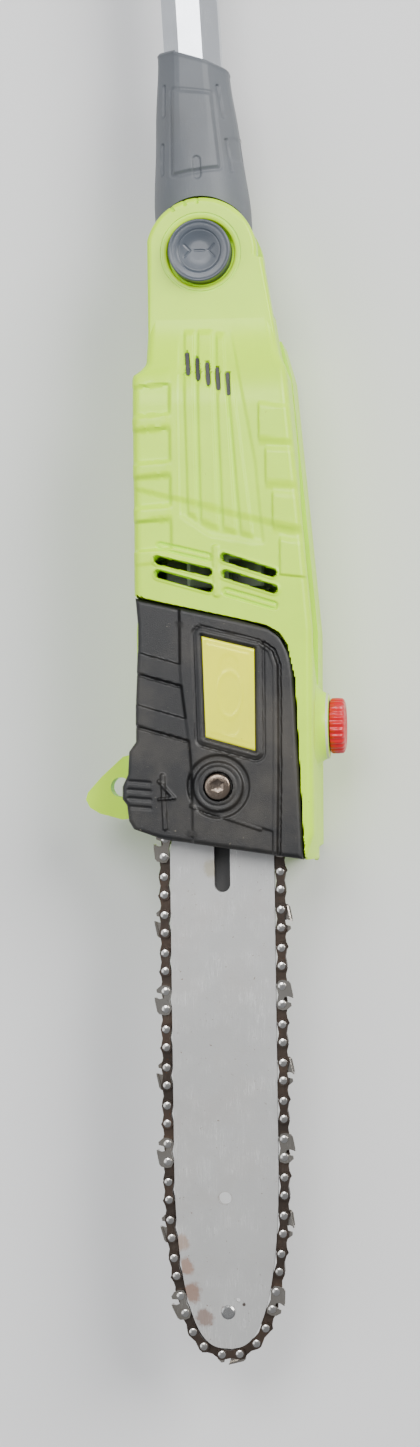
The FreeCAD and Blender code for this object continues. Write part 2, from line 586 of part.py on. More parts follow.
def bevel_pinion():
    """Small bevel pinion on the motor shaft's end: its teeth taper towards the spindle's axis."""
    slope = num("pinion_teeth / wheel_teeth")
    far, face, high = num("wheel_pitch"), num("tooth_face"), num("tooth_high")
    near = far - face
    hole = num("shaft_radius + fit")
    profile = [(0, near), (slope * near + high * 0.25, near), (slope * far + high * 0.42, far),
               (6.4, far + 0.8),
               (6.4, far + 9), (hole, far + 9), (hole, far + 1.2), (0, far + 1.2)]
    points = [FreeCAD.Vector(r, along, 0) for r, along in profile]
    body = Part.Face(Part.makePolygon(points + [points[0]])).revolve(FreeCAD.Vector(),
                                                                     FreeCAD.Vector(0, 1, 0), 360)
    teeth = DIMS["pinion_teeth"]
    one = tooth_gap(teeth, slope * far, (slope * far - high * 0.6, slope * far + high))
    one.rotate(FreeCAD.Vector(), FreeCAD.Vector(0, 0, 1), 90)
    hub = Part.makeCylinder(20, 30, FreeCAD.Vector(0, far + 0.3, 0), FreeCAD.Vector(0, 1, 0))
    one = one.cut(hub)
    for i in range(teeth):
        gap = one.copy()
        gap.rotate(FreeCAD.Vector(), FreeCAD.Vector(0, 1, 0), 180 + 360 * (i + 0.5) / teeth)
        body = body.cut(gap)
    body.translate(FreeCAD.Vector(0, num("sprocket_y"), num("axis_z")))
    return node("head", "bevel_pinion", feature("bevel_pinion_body", body))


def gear_case():
    """Cast housing of the bevel drive, open below, with seats for the front and the upper bearing."""
    block = box("case_block", ("-26.5", "26.5"), ("sprocket_y - 27", "front_bearing_y + 8"),
                ("22", "shelf_z - 3"))
    cavity = rod("case_cavity", "Z", ("0", "sprocket_y", "20"), "wheel_pitch + 1.6", "27")
    upper = rod("case_upper_seat", "Z", ("0", "sprocket_y", "shelf_z - 10"), "spindle_bearing + fit", "20")
    through = rod("case_through", "Z", ("0", "sprocket_y", "30"), "spindle_radius + 2", "30")
    front = rod("case_front_seat", "Y", ("0", "front_bearing_y", "axis_z"), "bearing_radius + fit", "30")
    shaft = rod("case_shaft_way", "Y", ("0", "sprocket_y + 10", "axis_z"), "8.5", "30")
    return node("head", "gear_case", cut("case", block, cavity, upper, through, front, shaft))


def gear_case_lid():
    """Lower lid of the gear case with the lower spindle bearing's seat."""
    block = box("lid_block", ("-26.5", "26.5"), ("sprocket_y - 27", "front_bearing_y + 8"), ("11", "22"))
    seat = rod("lid_seat", "Z", ("0", "sprocket_y", "14"), "spindle_bearing + fit", "20")
    return node("head", "gear_case_lid", cut("lid", block, seat))


def motor():
    """Brushed motor along the head: shaft, commutator, armature, stator, coils, brushes and fan."""
    middle = "axis_z"
    node("head", "motor_shaft", rod("shaft", "Y", ("0", "sprocket_y + wheel_pitch + 1.5", middle),
                                    "shaft_radius", "rear_bearing_y + 9 - sprocket_y - wheel_pitch - 1.5"))
    bore = "shaft_radius + fit"
    pair = [ring(f"motor_bearing_{i}", "Y", ("0", along, middle), bore, "bearing_radius", "bearing_wide")
            for i, along in enumerate(("rear_bearing_y", "front_bearing_y"))]
    node("head", "motor_bearings", fuse("motor_bearings_all", *pair))
    node("head", "commutator", ring("commutator", "Y", ("0", "commutator_y", middle), bore,
                                    "commutator_radius",
                                    "commutator_long"))
    node("head", "armature_core", armature_core())
    ends = [ring(f"end_winding_{i}", "Y", ("0", along, middle), "shaft_radius + 1.5", "armature_radius - 2",
                 "7")
            for i, along in enumerate(("stator_y - 7.2", "stator_y + stator_long + 0.2"))]
    node("head", "armature_windings", fuse("armature_windings_all", *ends))
    node("head", "stator_core", stator_core())
    node("head", "field_coils", field_coils())
    brush, holder = [], []
    for i, (near, far) in enumerate((("commutator_radius + 0.3", "23"),
                                     ("0 - 23", "0 - commutator_radius - 0.3"))):
        brush.append(box(f"brush_{i}", (near, far), ("commutator_y + 4", "commutator_y + 10"),
                         ("axis_z - 3", "axis_z + 3")))
        sign = "" if i == 0 else "0 - "
        ends = (sign + "(commutator_radius + 3)", sign + "26.5")
        ends = ends if i == 0 else ends[::-1]
        shell = box(f"holder_{i}", ends, ("commutator_y + 2", "commutator_y + 12"),
                    ("axis_z - 5", "axis_z + 5"))
        hole = box(f"holder_hole_{i}", ("0 - 24", "24"), ("commutator_y + 3.8", "commutator_y + 10.2"),
                   ("axis_z - 3.2", "axis_z + 3.2"))
        holder.append(cut(f"holder_cut_{i}", shell, hole))
    node("head", "brushes", fuse("brushes_all", *brush))
    node("head", "brush_holders", fuse("holders_all", *holder))
    node("head", "cooling_fan", cooling_fan())


def armature_core():
    """Laminated armature: one slot is cut and repeated round the shaft."""
    body = turned("armature", "Y", ("0", "stator_y", "axis_z"),
                  [("shaft_radius + fit", "0"), ("armature_radius", "0"), ("armature_radius", "stator_long"),
                   ("shaft_radius + fit", "stator_long")])
    doc.recompute()
    plane = [item for item in body.Origin.OriginFeatures if item.Role == "XZ_Plane"][0]
    slot = body.newObject("Sketcher::SketchObject", "armature_slot")
    slot.AttachmentSupport = [(plane, "")]
    slot.MapMode = "FlatFace"
    low, high, half = num("armature_radius - 6"), num("armature_radius + 1"), 1.1
    corners = [(-half, low), (half, low), (half, high), (-half, high)]
    flat = [FreeCAD.Vector(x, y, 0) for x, y in corners]
    slot.addGeometry([Part.LineSegment(flat[i], flat[(i + 1) % 4]) for i in range(4)], False)
    before = body.Shape.Volume
    pocket = body.newObject("PartDesign::Pocket", "armature_pocket")
    pocket.Profile = slot
    pocket.Type = "ThroughAll"
    pocket.Midplane = True
    doc.recompute()
    assert body.Shape.Volume < before - 1, "the armature slot cuts nothing"
    round_it = body.newObject("PartDesign::PolarPattern", "armature_slots")
    round_it.Originals = [pocket]
    round_it.Axis = ([item for item in body.Origin.OriginFeatures if item.Role == "Y_Axis"][0], [""])
    round_it.Angle = 360
    bind(round_it, "Occurrences", "slots")
    body.Tip = round_it
    return body


def stator_core():
    """Stator stack: a yoke ring with two pole shoes above and below the armature."""
    start = ("0", "stator_y", "axis_z")
    yoke = rod("yoke", "Y", start, "stator_radius", "stator_long")
    window = rod("yoke_window", "Y", ("0", "stator_y - 1", "axis_z"), "stator_radius - 2.5",
                 "stator_long + 2")
    pole = common("pole_arc", rod("pole_round", "Y", start, "stator_radius - 2", "stator_long"),
                  box("pole_block", ("-12", "12"), ("stator_y", "stator_y + stator_long"),
                      ("axis_z - stator_radius", "axis_z + stator_radius")))
    bore = rod("stator_bore", "Y", ("0", "stator_y - 1", "axis_z"), "armature_radius + air_gap",
               "stator_long + 2")
    return cut("stator", fuse("stator_body", cut("yoke_ring", yoke, window), pole), bore)


def field_coils():
    """Field coils: two bundles beside the poles and an end turn at each end of the stack."""
    start = ("0", "stator_y - 6", "axis_z")
    outer = rod("coil_outer", "Y", start, "stator_radius - 2.8", "stator_long + 12")
    bore = rod("coil_bore", "Y", ("0", "stator_y - 8", "axis_z"), "armature_radius + 0.9",
               "stator_long + 16")
    keep = box("coil_pole_room", ("-12.4", "12.4"), ("stator_y - 0.3", "stator_y + stator_long + 0.3"),
               ("axis_z - stator_radius", "axis_z + stator_radius"))
    return cut("coils", outer, bore, keep)


def cooling_fan():
    """Radial fan: a hub, a back disc and straight blades."""
    hub = rod("fan_hub", "Y", ("0", "fan_y", "axis_z"), "8", "fan_wide")
    disc = rod("fan_disc", "Y", ("0", "fan_y + fan_wide - 2", "axis_z"), "fan_radius", "2")
    blades = []
    for i in range(DIMS["fan_blades"]):
        turn = FreeCAD.Rotation(FreeCAD.Vector(0, 1, 0), 360 * i / DIMS["fan_blades"])
        offset = turn.multVec(FreeCAD.Vector(6, 0, -1))
        blade = doc.addObject("Part::Box", f"fan_blade_{i}")
        bind(blade, "Length", "fan_radius - 7")
        bind(blade, "Width", "fan_wide - 1")
        blade.Height = 2
        blade.Placement = FreeCAD.Placement(FreeCAD.Vector(), turn)
        blades.append(place(blade, (f"{offset.x}", "fan_y", f"axis_z + {offset.z}")))
    bore = rod("fan_bore", "Y", ("0", "fan_y - 1", "axis_z"), "shaft_radius + fit", "fan_wide + 2")
    return cut("fan", fuse("fan_body", hub, disc, *blades), bore)


# ---- oil system ---------------------------------------------------------------------------------


def oil_tank():
    """Thin-walled oil tank in the front of the head with its filler neck on the +X side."""
    main = box("tank_main", ("left_low_x + wall + 12", "right_low_x - wall - 2.6"),
               ("front_y + 6", "cap_y - 7"),
               ("7", "tank_top"))
    side = box("tank_side", ("30", "right_low_x - wall - 2.6"), ("cap_y - 14", "cap_y + 14"),
               ("7", "tank_top + 10"))
    main_in = box("tank_main_in", ("left_low_x + wall + 14", "right_low_x - wall - 4.6"),
                  ("front_y + 8", "cap_y - 9"), ("9", "tank_top - 2"))
    side_in = box("tank_side_in", ("32", "right_low_x - wall - 4.6"), ("cap_y - 12", "cap_y + 12"),
                  ("9", "tank_top + 8"))
    neck = rod("tank_neck", "X", ("40", "cap_y", "cap_z"), "neck_radius - 2", "neck_x - 40")
    flange = rod("tank_flange", "X", ("right_low_x + 0.3", "cap_y", "cap_z"), "neck_radius + 1.4",
                 "neck_x - right_low_x - 0.6")
    bore = rod("tank_neck_bore", "X", ("39", "cap_y", "cap_z"), "neck_bore", "20")
    body = fuse("tank_body", main, side, neck, flange)
    return node("head", "oil_tank", cut("tank", body, main_in, side_in, bore))


def oil_cap():
    """Screw cap with a ribbed rim and a plug that turns inside the filler neck."""
    body = turned("cap_body", "X", ("0", "cap_y", "cap_z"),
                  [("0", "neck_x - 9"), ("neck_bore - 0.4", "neck_x - 9"),
                   ("neck_bore - 0.4", "neck_x + 0.5"),
                   ("cap_radius", "neck_x + 0.5"), ("cap_radius", "cap_x - 1.2"),
                   ("cap_radius - 1.2", "cap_x"),
                   ("0", "cap_x")])
    return node("cap", "oil_cap", body)


def oil_pump():
    """Small pump beside the clamp with a pipe up to the bar's oil hole."""
    body = box("pump_body", ("-36", "-17"), ("clamp_y + 4", "clamp_y + 22"), ("tank_top + 1", "shelf_z - 4"))
    pump = bevelled("pump_round", body, 2, lambda e: e.BoundBox.ZLength > 5)
    pipe = rod("pipe_outer", "Z", ("-26", "clamp_y + 14", "shelf_z - 5"), "2", "5")
    hole = rod("pipe_inner", "Z", ("-26", "clamp_y + 14", "50"), "1.1", "20")
    return node("head", "oil_pump", cut("pump", fuse("pump_and_pipe", pump, pipe), hole))


def bought_rings():
    """Spindle bearings, the clip that holds the sprocket and the oil cap's seal."""
    pair = [ring(f"spindle_bearing_{i}", "Z", ("0", "sprocket_y", low), "spindle_radius + fit",
                 "spindle_bearing",
                 "bearing_wide") for i, low in enumerate(("14.2", "shelf_z - 9.8"))]
    node("head", "spindle_bearings", fuse("spindle_bearings_all", *pair))
    node("head", "sprocket_clip", ring("sprocket_clip", "Z",
                                       ("0", "sprocket_y", "shelf_z + bar_thick + 5.05"),
                                       "spindle_radius - 0.95", "8", "1.1"))
    node("cap", "cap_seal", ring("cap_seal", "X", ("neck_x + fit", "cap_y", "cap_z"), "neck_bore - 0.3",
                                 "neck_radius - 2.5", "0.4"))


# ---- tilt knuckle -------------------------------------------------------------------------------


def octagon(across):
    """Corners of an octagon in X and Z about the pole's axis, flats facing X and Z."""
    half, short = f"({across}) / 2", f"({across}) / 2 * 0.4142"
    corners = [(half, short), (short, half), (f"0 - {short}", half), (f"0 - {half}", short),
               (f"0 - {half}", f"0 - {short}"), (f"0 - {short}", f"0 - {half}"), (short, f"0 - {half}"),
               (half, f"0 - {short}")]
    return corners


def octagon_bar(name, across, start, length):
    """An octagonal prism along the pole's axis."""
    body = doc.addObject("PartDesign::Body", name)
    sketch = sketch_on(body, "XZ_Plane", octagon(across))
    pad = body.newObject("PartDesign::Pad", name + "_pad")
    pad.Profile = sketch
    pad.Reversed = True
    bind(pad, "Length", length)
    return place(body, ("0", start, "axis_z"))


def octagon_tube(name, across, wall, start, length):
    """An octagonal tube along the pole's axis."""
    outer = octagon_bar(name + "_outer", across, start, length)
    inner = octagon_bar(name + "_inner", f"({across}) - 2 * ({wall})", f"{start} - 1", f"({length}) + 2")
    return cut(name, outer, inner)


def collar():
    """Grey knuckle collar in two halves: tube socket, shoulders round the lug and the pivot tongue."""
    profile = [("0", "10"), ("collar_radius + 1", "10"), ("collar_radius", "30"), ("22.2", "60"),
               ("20.2", "82"), ("mouth_radius", "mouth_y + 3"), ("0", "mouth_y + 3")]
    socket = turned("collar_round", "Y", ("0", "0", "axis_z"), profile)
    mouth = plate("collar_mouth", [("-30", "mouth_y + 2.5"), ("-8", "mouth_y"), ("30", "mouth_y - 13"),
                                   ("30", "mouth_y + 20"), ("-30", "mouth_y + 20")], "0", "90")
    lowest = plate("collar_low", [("-40", "24"), ("12", "24"), ("20", "collar_low_y"),
                                  ("40", "collar_low_y"),
                                  ("40", "0"), ("-40", "0")], "0", "90")
    clear = rod("collar_lug_room", "Z", ("0", "0", "0"), "ear_radius + 0.8", "90")
    shoulders = cut("collar_shoulders", socket, mouth, lowest, clear)
    tongue = rod("tongue_disc", "Z", ("0", "0", "axis_z - tongue_half"), "tongue_radius", "2 * tongue_half")
    neck = box("tongue_neck", ("-17", "17"), ("4", "36"), ("axis_z - tongue_half", "axis_z + tongue_half"))
    whole = fuse("collar_whole", shoulders, tongue, neck)
    bore = octagon_bar("collar_bore", "tube_across + 2 * fit", "tube_start", "90")
    pin = rod("collar_pin_bore", "Z", ("0", "0", "0"), "pin_radius + fit", "90")
    well = rod("collar_lock_well", "Z", ("0", "0", "axis_z - 6"), "15", "30")
    lead = rod("collar_lead_way", "Y", ("0", "20", "axis_z"), "6.5", "20")
    holes = [rod(f"collar_hole_{i}", "Z", (x, y, "20"), "1.6", "50") for i,
             (x, y) in enumerate(COLLAR_SCREWS)]
    sinks = [rod(f"collar_sink_{i}", "Z", (x, y, "10"), "3", "21") for i, (x, y) in enumerate(COLLAR_SCREWS)]
    done = cut("collar_done", whole, bore, pin, well, lead, *holes, *sinks)
    for label, low, high in (("collar_upper_shell", "axis_z", "90"), ("collar_lower_shell", "0", "axis_z")):
        half = box(label + "_half", ("-60", "60"), ("-60", "140"), (low, high))
        node("pole", label, common(label + "_body", done, half))


COLLAR_SCREWS = [("-19.4", "38"), ("19.4", "38"), ("-18.2", "62"), ("18.2", "62")]


def collar_screws():
    """Four small screws that hold the collar's halves together."""
    made = []
    for i, (x, y) in enumerate(COLLAR_SCREWS):
        made.append(turned(f"collar_screw_{i}", "Z", (x, y, "29"),
                           [("0", "0"), ("2.7", "0"), ("2.7", "2"), ("1.55", "2"), ("1.55", "20"),
                            ("0", "20")]))
    return node("pole", "collar_screws", fuse("collar_screws_all", *made))


def pivot_pin():
    """Steel pin held in the lower cheek: the tongue turns on it and the button slides on its end."""
    return node("head", "pivot_pin", turned("pivot_pin_body", "Z", ("pivot_x", "0", "ear_bottom"),
                [("0", "-3"), ("7", "-3"), ("7", "0"), ("pin_radius", "0"), ("pin_radius", "46"),
                 ("0", "46")]))


def push_button():
    """Dished push button that rises through the upper cheek, with its sleeve and the toothed lock ring."""
    cap = turned("button_cap", "Z", ("pivot_x", "0", "0"),
                 [("0", "button_top - 1.6"), ("9", "button_top - 1.2"),
                  ("button_radius - 2", "button_top - 0.4"),
                  ("button_radius - 1.6", "button_top"), ("button_radius - 0.8", "button_top"),
                  ("button_radius", "button_top - 1"), ("button_radius", "64"), ("8", "64"), ("8", "53"),
                  ("pin_radius + fit", "53"), ("pin_radius + fit", "66"), ("0", "66")])
    node("button", "push_button", cap)
    points = []
    teeth = 24
    for i in range(teeth * 2):
        radius = 14.2 if i % 2 else 12.9
        turn = 360 * i / (teeth * 2)
        points.append((f"{radius} * cos({turn})", f"{radius} * sin({turn})"))
    toothed = plate("lock_ring_body", points, "57.2", "63.5")
    bore = rod("lock_ring_bore", "Z", ("0", "0", "50"), "8.05", "20")
    ring_solid = cut("lock_ring_cut", toothed, bore)
    bind(ring_solid, "Placement.Base.x", "pivot_x")
    node("button", "lock_ring", ring_solid)


def button_spring():
    """Coil spring under the button, standing in the tongue's well round the pin."""
    radius, wire, turns = 6.4, 0.7, 4.5
    low, high = num("axis_z - 5.2"), 52.2
    helix = Part.makeHelix((high - low) / turns, high - low, radius)
    profile = Part.Wire(Part.makeCircle(wire, FreeCAD.Vector(radius, 0, 0), FreeCAD.Vector(0, 1, 0.1)))
    coil = Part.Wire(helix).makePipeShell([profile], True, True)
    coil.translate(FreeCAD.Vector(num("pivot_x"), 0, low))
    return node("button", "button_spring", feature("spring_coil", coil))


# ---- pole ---------------------------------------------------------------------------------------

OUTER_ACROSS = "(tube_across + 2 * tube_gap + 2 * tube_wall)"


def pole_tubes():
    """The two octagonal tubes: the upper one slides inside the lower one with a small gap."""
    node("pole", "inner_tube", octagon_tube("inner_tube_body", "tube_across", "tube_wall", "tube_start",
                                            "inner_long"))
    node("base", "outer_tube", octagon_tube("outer_tube_body", OUTER_ACROSS, "tube_wall", "outer_start",
                                            "outer_long"))
    lead = rod("lead_coil", "Y", ("0", "tube_start + 6", "axis_z"), "6", "inner_long - 20")
    node("pole", "internal_lead", lead)
    plug = octagon_bar("bush_outer", "tube_across - 2 * tube_wall - 2 * fit",
                       "tube_start + inner_long - 12", "16")
    bore = rod("bush_bore", "Y", ("0", "tube_start + inner_long - 20", "axis_z"), "6.4", "40")
    node("pole", "tube_end_bush", cut("bush", plug, bore))


def clamp():
    """Cam clamp at the outer tube's mouth: a split collar, its bolt and a flip lever."""
    across = f"({OUTER_ACROSS} + 2 * clamp_wall)"
    sleeve = octagon_bar("clamp_outer", across, "clamp_from", "clamp_long")
    lugs = box("clamp_lugs", (f"{across} / 2 - 3", f"{across} / 2 + 15"),
               ("clamp_from + 16", "clamp_from + 46"),
               ("axis_z - 9", "axis_z + 9"))
    seat = octagon_bar("clamp_seat", f"({OUTER_ACROSS} + 2 * fit)", "outer_start", "clamp_long")
    mouth = octagon_bar("clamp_mouth", "(tube_across + 2 * gap)", "clamp_from - 1", "clamp_long")
    split = box("clamp_split", ("5", f"{across} / 2 + 20"),
                ("clamp_from - 1", "clamp_from + clamp_long + 1"),
                ("axis_z - 1", "axis_z + 1"))
    hole = rod("clamp_bolt_hole", "Z", (f"{across} / 2 + 8", "clamp_from + 31", "10"), "2.6 + fit", "70")
    body = bevelled("clamp_round", fuse("clamp_body", sleeve, lugs), 1.5,
                    lambda e: abs(e.BoundBox.YLength - num("clamp_long")) < 0.01)
    node("base", "clamp_collar", cut("clamp_cut", body, seat, mouth, split, hole))
    spot = (f"{across} / 2 + 8", "clamp_from + 31")
    bolt = turned("clamp_bolt_body", "Z", (*spot, "axis_z"),
                  [("0", "-14"), ("5", "-14"), ("5", "-9.1"), ("2.6", "-9.1"), ("2.6", "22"), ("0", "22")])
    node("base", "clamp_bolt", bolt)
    cam = rod("lever_cam", "Z", (*spot, "axis_z + 9.3"), "7.6", "9")
    arm = box("lever_arm", (f"{across} / 2 + 0.6", f"{across} / 2 + 9"),
              ("clamp_from + 31", "clamp_from + 31 + lever_long"), ("axis_z + 9.3", "axis_z + 18.3"))
    pad = rod("lever_pad", "Z", (f"{across} / 2 + 5.4", "clamp_from + 31 + lever_long", "axis_z + 9.3"),
              "5", "9")
    hole = rod("lever_hole", "Z", (*spot, "axis_z"), "2.6 + fit", "30")
    node("lever", "clamp_lever", cut("lever", fuse("lever_body", cam, arm, pad), hole))


def foam_grip():
    """Foam sleeve for the front hand."""
    body = turned("foam_body", "Y", ("0", "foam_from", "axis_z"),
                  [("0", "0"), (f"{OUTER_ACROSS} / 2 + foam_wall - 1.5", "0"),
                   (f"{OUTER_ACROSS} / 2 + foam_wall + 1", "3"),
                   (f"{OUTER_ACROSS} / 2 + foam_wall + 1", "foam_long - 3"),
                   (f"{OUTER_ACROSS} / 2 + foam_wall - 1.5", "foam_long"), ("0", "foam_long")])
    bore = octagon_bar("foam_bore", f"({OUTER_ACROSS} + 2 * fit)", "foam_from - 5", "foam_long + 10")
    return node("base", "foam_grip", cut("foam", body, bore))


def strap_eye():
    """Clamp ring with an eye for a shoulder strap, and its screw."""
    across = f"({OUTER_ACROSS} + 8)"
    band = octagon_bar("eye_band", across, "eye_y", "eye_wide")
    centre = f"{across} / 2 + eye_radius - 1"
    lug = rod("eye_lug", "Z", (centre, "eye_y + eye_wide / 2", "axis_z - eye_thick / 2"), "eye_radius + 4",
              "eye_thick")
    hole = rod("eye_hole", "Z", (centre, "eye_y + eye_wide / 2", "axis_z - eye_thick"), "eye_radius - 2",
               "2 * eye_thick")
    bore = octagon_bar("eye_bore", f"({OUTER_ACROSS} + 2 * fit)", "eye_y - 5", "eye_wide + 10")
    screw_hole = rod("eye_screw_hole", "Z", ("0", "eye_y + eye_wide / 2", "axis_z"), "2.1", "30")
    node("base", "strap_eye", cut("eye", fuse("eye_body", band, lug), hole, bore, screw_hole))
    screw = turned("eye_screw_body", "Z", ("0", "eye_y + eye_wide / 2", f"axis_z + {across} / 2"),
                   [("0", "-3.4"), ("2", "-3.4"), ("2", "0"), ("4", "0"), ("4", "1.6"), ("3", "2.4"),
                    ("0", "2.4")])
    node("base", "strap_eye_screw", screw)


# ---- rear handle --------------------------------------------------------------------------------

LOOP = [("24", "handle_from"), ("27", "handle_from + 60"), ("grip_wide - 4", "handle_from + 100"),
        ("grip_wide", "handle_from + 180"), ("grip_wide", "handle_from + handle_long - 50"),
        ("24", "handle_from + handle_long"), ("-36", "handle_from + handle_long"),
        ("guard_x", "handle_from + handle_long - 34"), ("guard_x", "handle_from + 150"),
        ("guard_x + 20", "handle_from + 96"), ("-27", "handle_from + 56"), ("-24", "handle_from")]
HOLE = [("-2", "handle_from + 120"), ("0", "handle_from + handle_long - 68"),
        ("-16", "handle_from + handle_long - 44"),
        ("guard_x + guard_wide + 8", "handle_from + handle_long - 44"),
        ("guard_x + guard_wide", "handle_from + handle_long - 60"),
        ("guard_x + guard_wide", "handle_from + 160"),
        ("guard_x + guard_wide + 14", "handle_from + 122")]
HANDLE_SCREWS = [("grip_wide - 8", "handle_from + 236"),
                 ("guard_x + 8.5", "handle_from + 172"), ("20", "handle_from + handle_long - 26"),
                 ("guard_x + 22", "handle_from + handle_long - 22")]
HANDLE_FEET = [("guard_x + guard_wide / 2", "handle_from + handle_long - 60"),
               ("grip_wide - 9", "handle_from + handle_long - 66")]


def handle_shells():
    """Closed-loop rear handle in two halves, hollow in the grip, with the trigger's window.

    Two feet under the lower half reach as low as the head, so that the tool rests level on its side."""
    low, high = "axis_z - handle_half", "axis_z + handle_half"
    solid = cut("handle_solid", plate("handle_outer", LOOP, low, high),
                plate("handle_window", HOLE, "0 - 10", "100"))
    rounded = bevelled("handle_round", solid, 4.5, lambda e: e.BoundBox.ZLength < 0.01)
    socket = octagon_bar("handle_socket", f"({OUTER_ACROSS} + 2 * fit)", "handle_from - 10", "outer_start + "
                         "outer_long - handle_from + 10.5")
    room = box("handle_room", ("3", "grip_wide - 4"), ("trigger_y - 26", "handle_from + handle_long - 14"),
               ("axis_z - 16", "axis_z + 16"))
    window = box("handle_trigger_window", ("-12", "6"), ("trigger_y - 4", "trigger_y + trigger_long + 3.6"),
                 ("axis_z - 7.6", "axis_z + 7.6"))
    inlet = rod("handle_inlet", "Y", ("16", "handle_from + handle_long - 20", "axis_z"), "9 + fit", "30")
    lock = rod("handle_lock_hole", "Z", ("20", "trigger_y - 12", "axis_z + 10"), "8.3", "30")
    pin = rod("handle_pin_seat", "Z", ("6.5", "trigger_y + 3", "axis_z - 20"), "2 + fit", "40")
    holes = [rod(f"handle_hole_{i}", "Z", (x, y, "10"), "1.8 + fit", "50")
             for i, (x, y) in enumerate(HANDLE_SCREWS)]
    sinks = [rod(f"handle_sink_{i}", "Z", (x, y, "10"), "3.6", "16") for i,
             (x, y) in enumerate(HANDLE_SCREWS)]
    feet = [turned(f"handle_foot_{i}", "Z", (x, y, "0"),
                   [("0", "0"), ("foot_radius - 0.8", "0"), ("foot_radius", "0.8"),
                    ("foot_radius + 1.4", f"{low} + 6"), ("0", f"{low} + 6")])
            for i, (x, y) in enumerate(HANDLE_FEET)]
    done = cut("handle_done", fuse("handle_footed", rounded, *feet), socket, room, window, inlet, lock, pin,
               *holes, *sinks)
    for label, bottom, top in (("handle_upper_shell", "axis_z", "100"),
                               ("handle_lower_shell", "0", "axis_z")):
        half = box(label + "_half", ("-120", "80"), ("handle_from - 5", "handle_from + handle_long + 5"),
                   (bottom, top))
        node("base", label, common(label + "_body", done, half))


def handle_parts():
    """What the handle holds: screws, trigger and its pin and spring, lock-off button, switch and gland."""
    made = []
    for i, (x, y) in enumerate(HANDLE_SCREWS):
        made.append(turned(f"handle_screw_{i}", "Z", (x, y, "23"),
                           [("0", "0"), ("3.3", "0"), ("3.3", "2.4"), ("1.8", "2.4"), ("1.8", "33"),
                            ("0", "33")]))
    node("base", "handle_screws", fuse("handle_screws_all", *made))
    blade = plate("trigger_blade", [("9.5", "trigger_y - 0.5"), ("1", "trigger_y - 2"),
                                    ("-6", "trigger_y + 8"),
                                    ("-10.5", "trigger_y + 22"), ("-11", "trigger_y + trigger_long - 10"),
                                    ("-9", "trigger_y + trigger_long"), ("8", "trigger_y + trigger_long"),
                                    ("8", "trigger_y + 8")], "axis_z - 7", "axis_z + 7")
    round_blade = bevelled("trigger_round", blade, 1.6,
                           lambda e: e.BoundBox.XMax < -5 and e.BoundBox.ZLength < 0.01)
    hole = rod("trigger_hole", "Z", ("6.5", "trigger_y + 3", "axis_z - 20"), "2 + fit", "40")
    node("trigger", "trigger", cut("trigger_cut", round_blade, hole))
    node("base", "trigger_pin", rod("trigger_pin_body", "Z", ("6.5", "trigger_y + 3", "axis_z - 18"), "2",
                                    "36"))
    node("base", "switch", bevelled("switch_round", box("switch_body", ("19", "31.5"),
         ("trigger_y + 22", "trigger_y + 62"), ("axis_z - 9", "axis_z + 9")), 1,
                                    lambda e: e.BoundBox.YLength > 30))
    coil = Part.makeHelix(1, 5, 3.1)
    wire = Part.Wire(Part.makeCircle(0.4, FreeCAD.Vector(3.1, 0, 0), FreeCAD.Vector(0, 1, 0.05)))
    spring = Part.Wire(coil).makePipeShell([wire], True, True)
    spring.translate(FreeCAD.Vector(6.5, num("trigger_y + 3"), num("axis_z + 7.6")))
    node("trigger", "trigger_spring", feature("trigger_spring_coil", spring))
    lock = turned("lock_off_body", "Z", ("20", "trigger_y - 12", "axis_z + handle_half"),
                  [("0", "-9"), ("7.8", "-9"), ("7.8", "4"), ("6.6", "5"), ("0", "5.4")])
    node("lock_off", "lock_off_button", lock)
    gland = turned("gland_body", "Y", ("16", "handle_from + handle_long", "axis_z"),
                   [("4.1", "-18"), ("9", "-18"), ("9", "0.05"), ("10.5", "0.05"), ("10.5", "3"),
                    ("8.5", "5"),
                    ("4.1", "5")])
    node("base", "cable_gland", gland)


# ---- build, check and write ---------------------------------------------------------------------

HEAD_PARTS = [lower_shell, upper_shell, housing_screws, sprocket_cover, badge_plate, cover_screw, clamp_nut,
              bar_pad, branch_hook, guide_bar, nose_rivet, saw_chain, sprocket, spindle, bevel_wheel,
              bevel_pinion,
              gear_case, gear_case_lid, motor, oil_tank, oil_cap, oil_pump, bought_rings]
POLE_PARTS = [collar, collar_screws, pivot_pin, push_button, button_spring, pole_tubes, clamp, foam_grip,
              strap_eye, handle_shells, handle_parts]
POLE_SIDES = ("pole", "base", "lever", "trigger", "lock_off")

for make in HEAD_PARTS + POLE_PARTS:
    make()
doc.recompute()

for thing in doc.Objects:
    assert not {"Invalid", "Error"} & set(thing.State), f"{thing.Name} failed: {thing.State}"
for side, solid in NODES:
    assert not solid.Shape.isNull() and solid.Shape.isValid(), f"{solid.Label} is not a valid solid"
    assert solid.Shape.Volume > 0, f"{solid.Label} is inside out"

# The pole's nodes lean about the pivot, and then everything moves so that the footprint is centred.
pivot = FreeCAD.Placement(FreeCAD.Vector(num("pivot_x"), 0, 0), FreeCAD.Rotation())
lean = FreeCAD.Placement(FreeCAD.Vector(), FreeCAD.Rotation(FreeCAD.Vector(0, 0, 1), num("pole_lean")))
reach_box = FreeCAD.BoundBox()
for side, solid in NODES:
    if side in POLE_SIDES:
        solid.Placement = pivot.multiply(lean).multiply(solid.Placement)
    reach_box.add(solid.Shape.optimalBoundingBox(False))
centre = FreeCAD.Placement(FreeCAD.Vector(-reach_box.Center.x, -reach_box.Center.y, -reach_box.ZMin),
                           FreeCAD.Rotation())
os.makedirs("parts", exist_ok=True)
for side, solid in NODES:
    solid.Placement = centre.multiply(solid.Placement)
    solid.Shape.exportStep(f"parts/{solid.Label}.step")
print("nodes", len(NODES), "size", reach_box.XLength, reach_box.YLength, reach_box.ZLength)
print("shift", centre.Base.x, centre.Base.y, centre.Base.z)
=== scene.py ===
"""Looks of the telescoping pole saw: finishes, detailed shells, the saw chain, light and camera."""
import json
import math

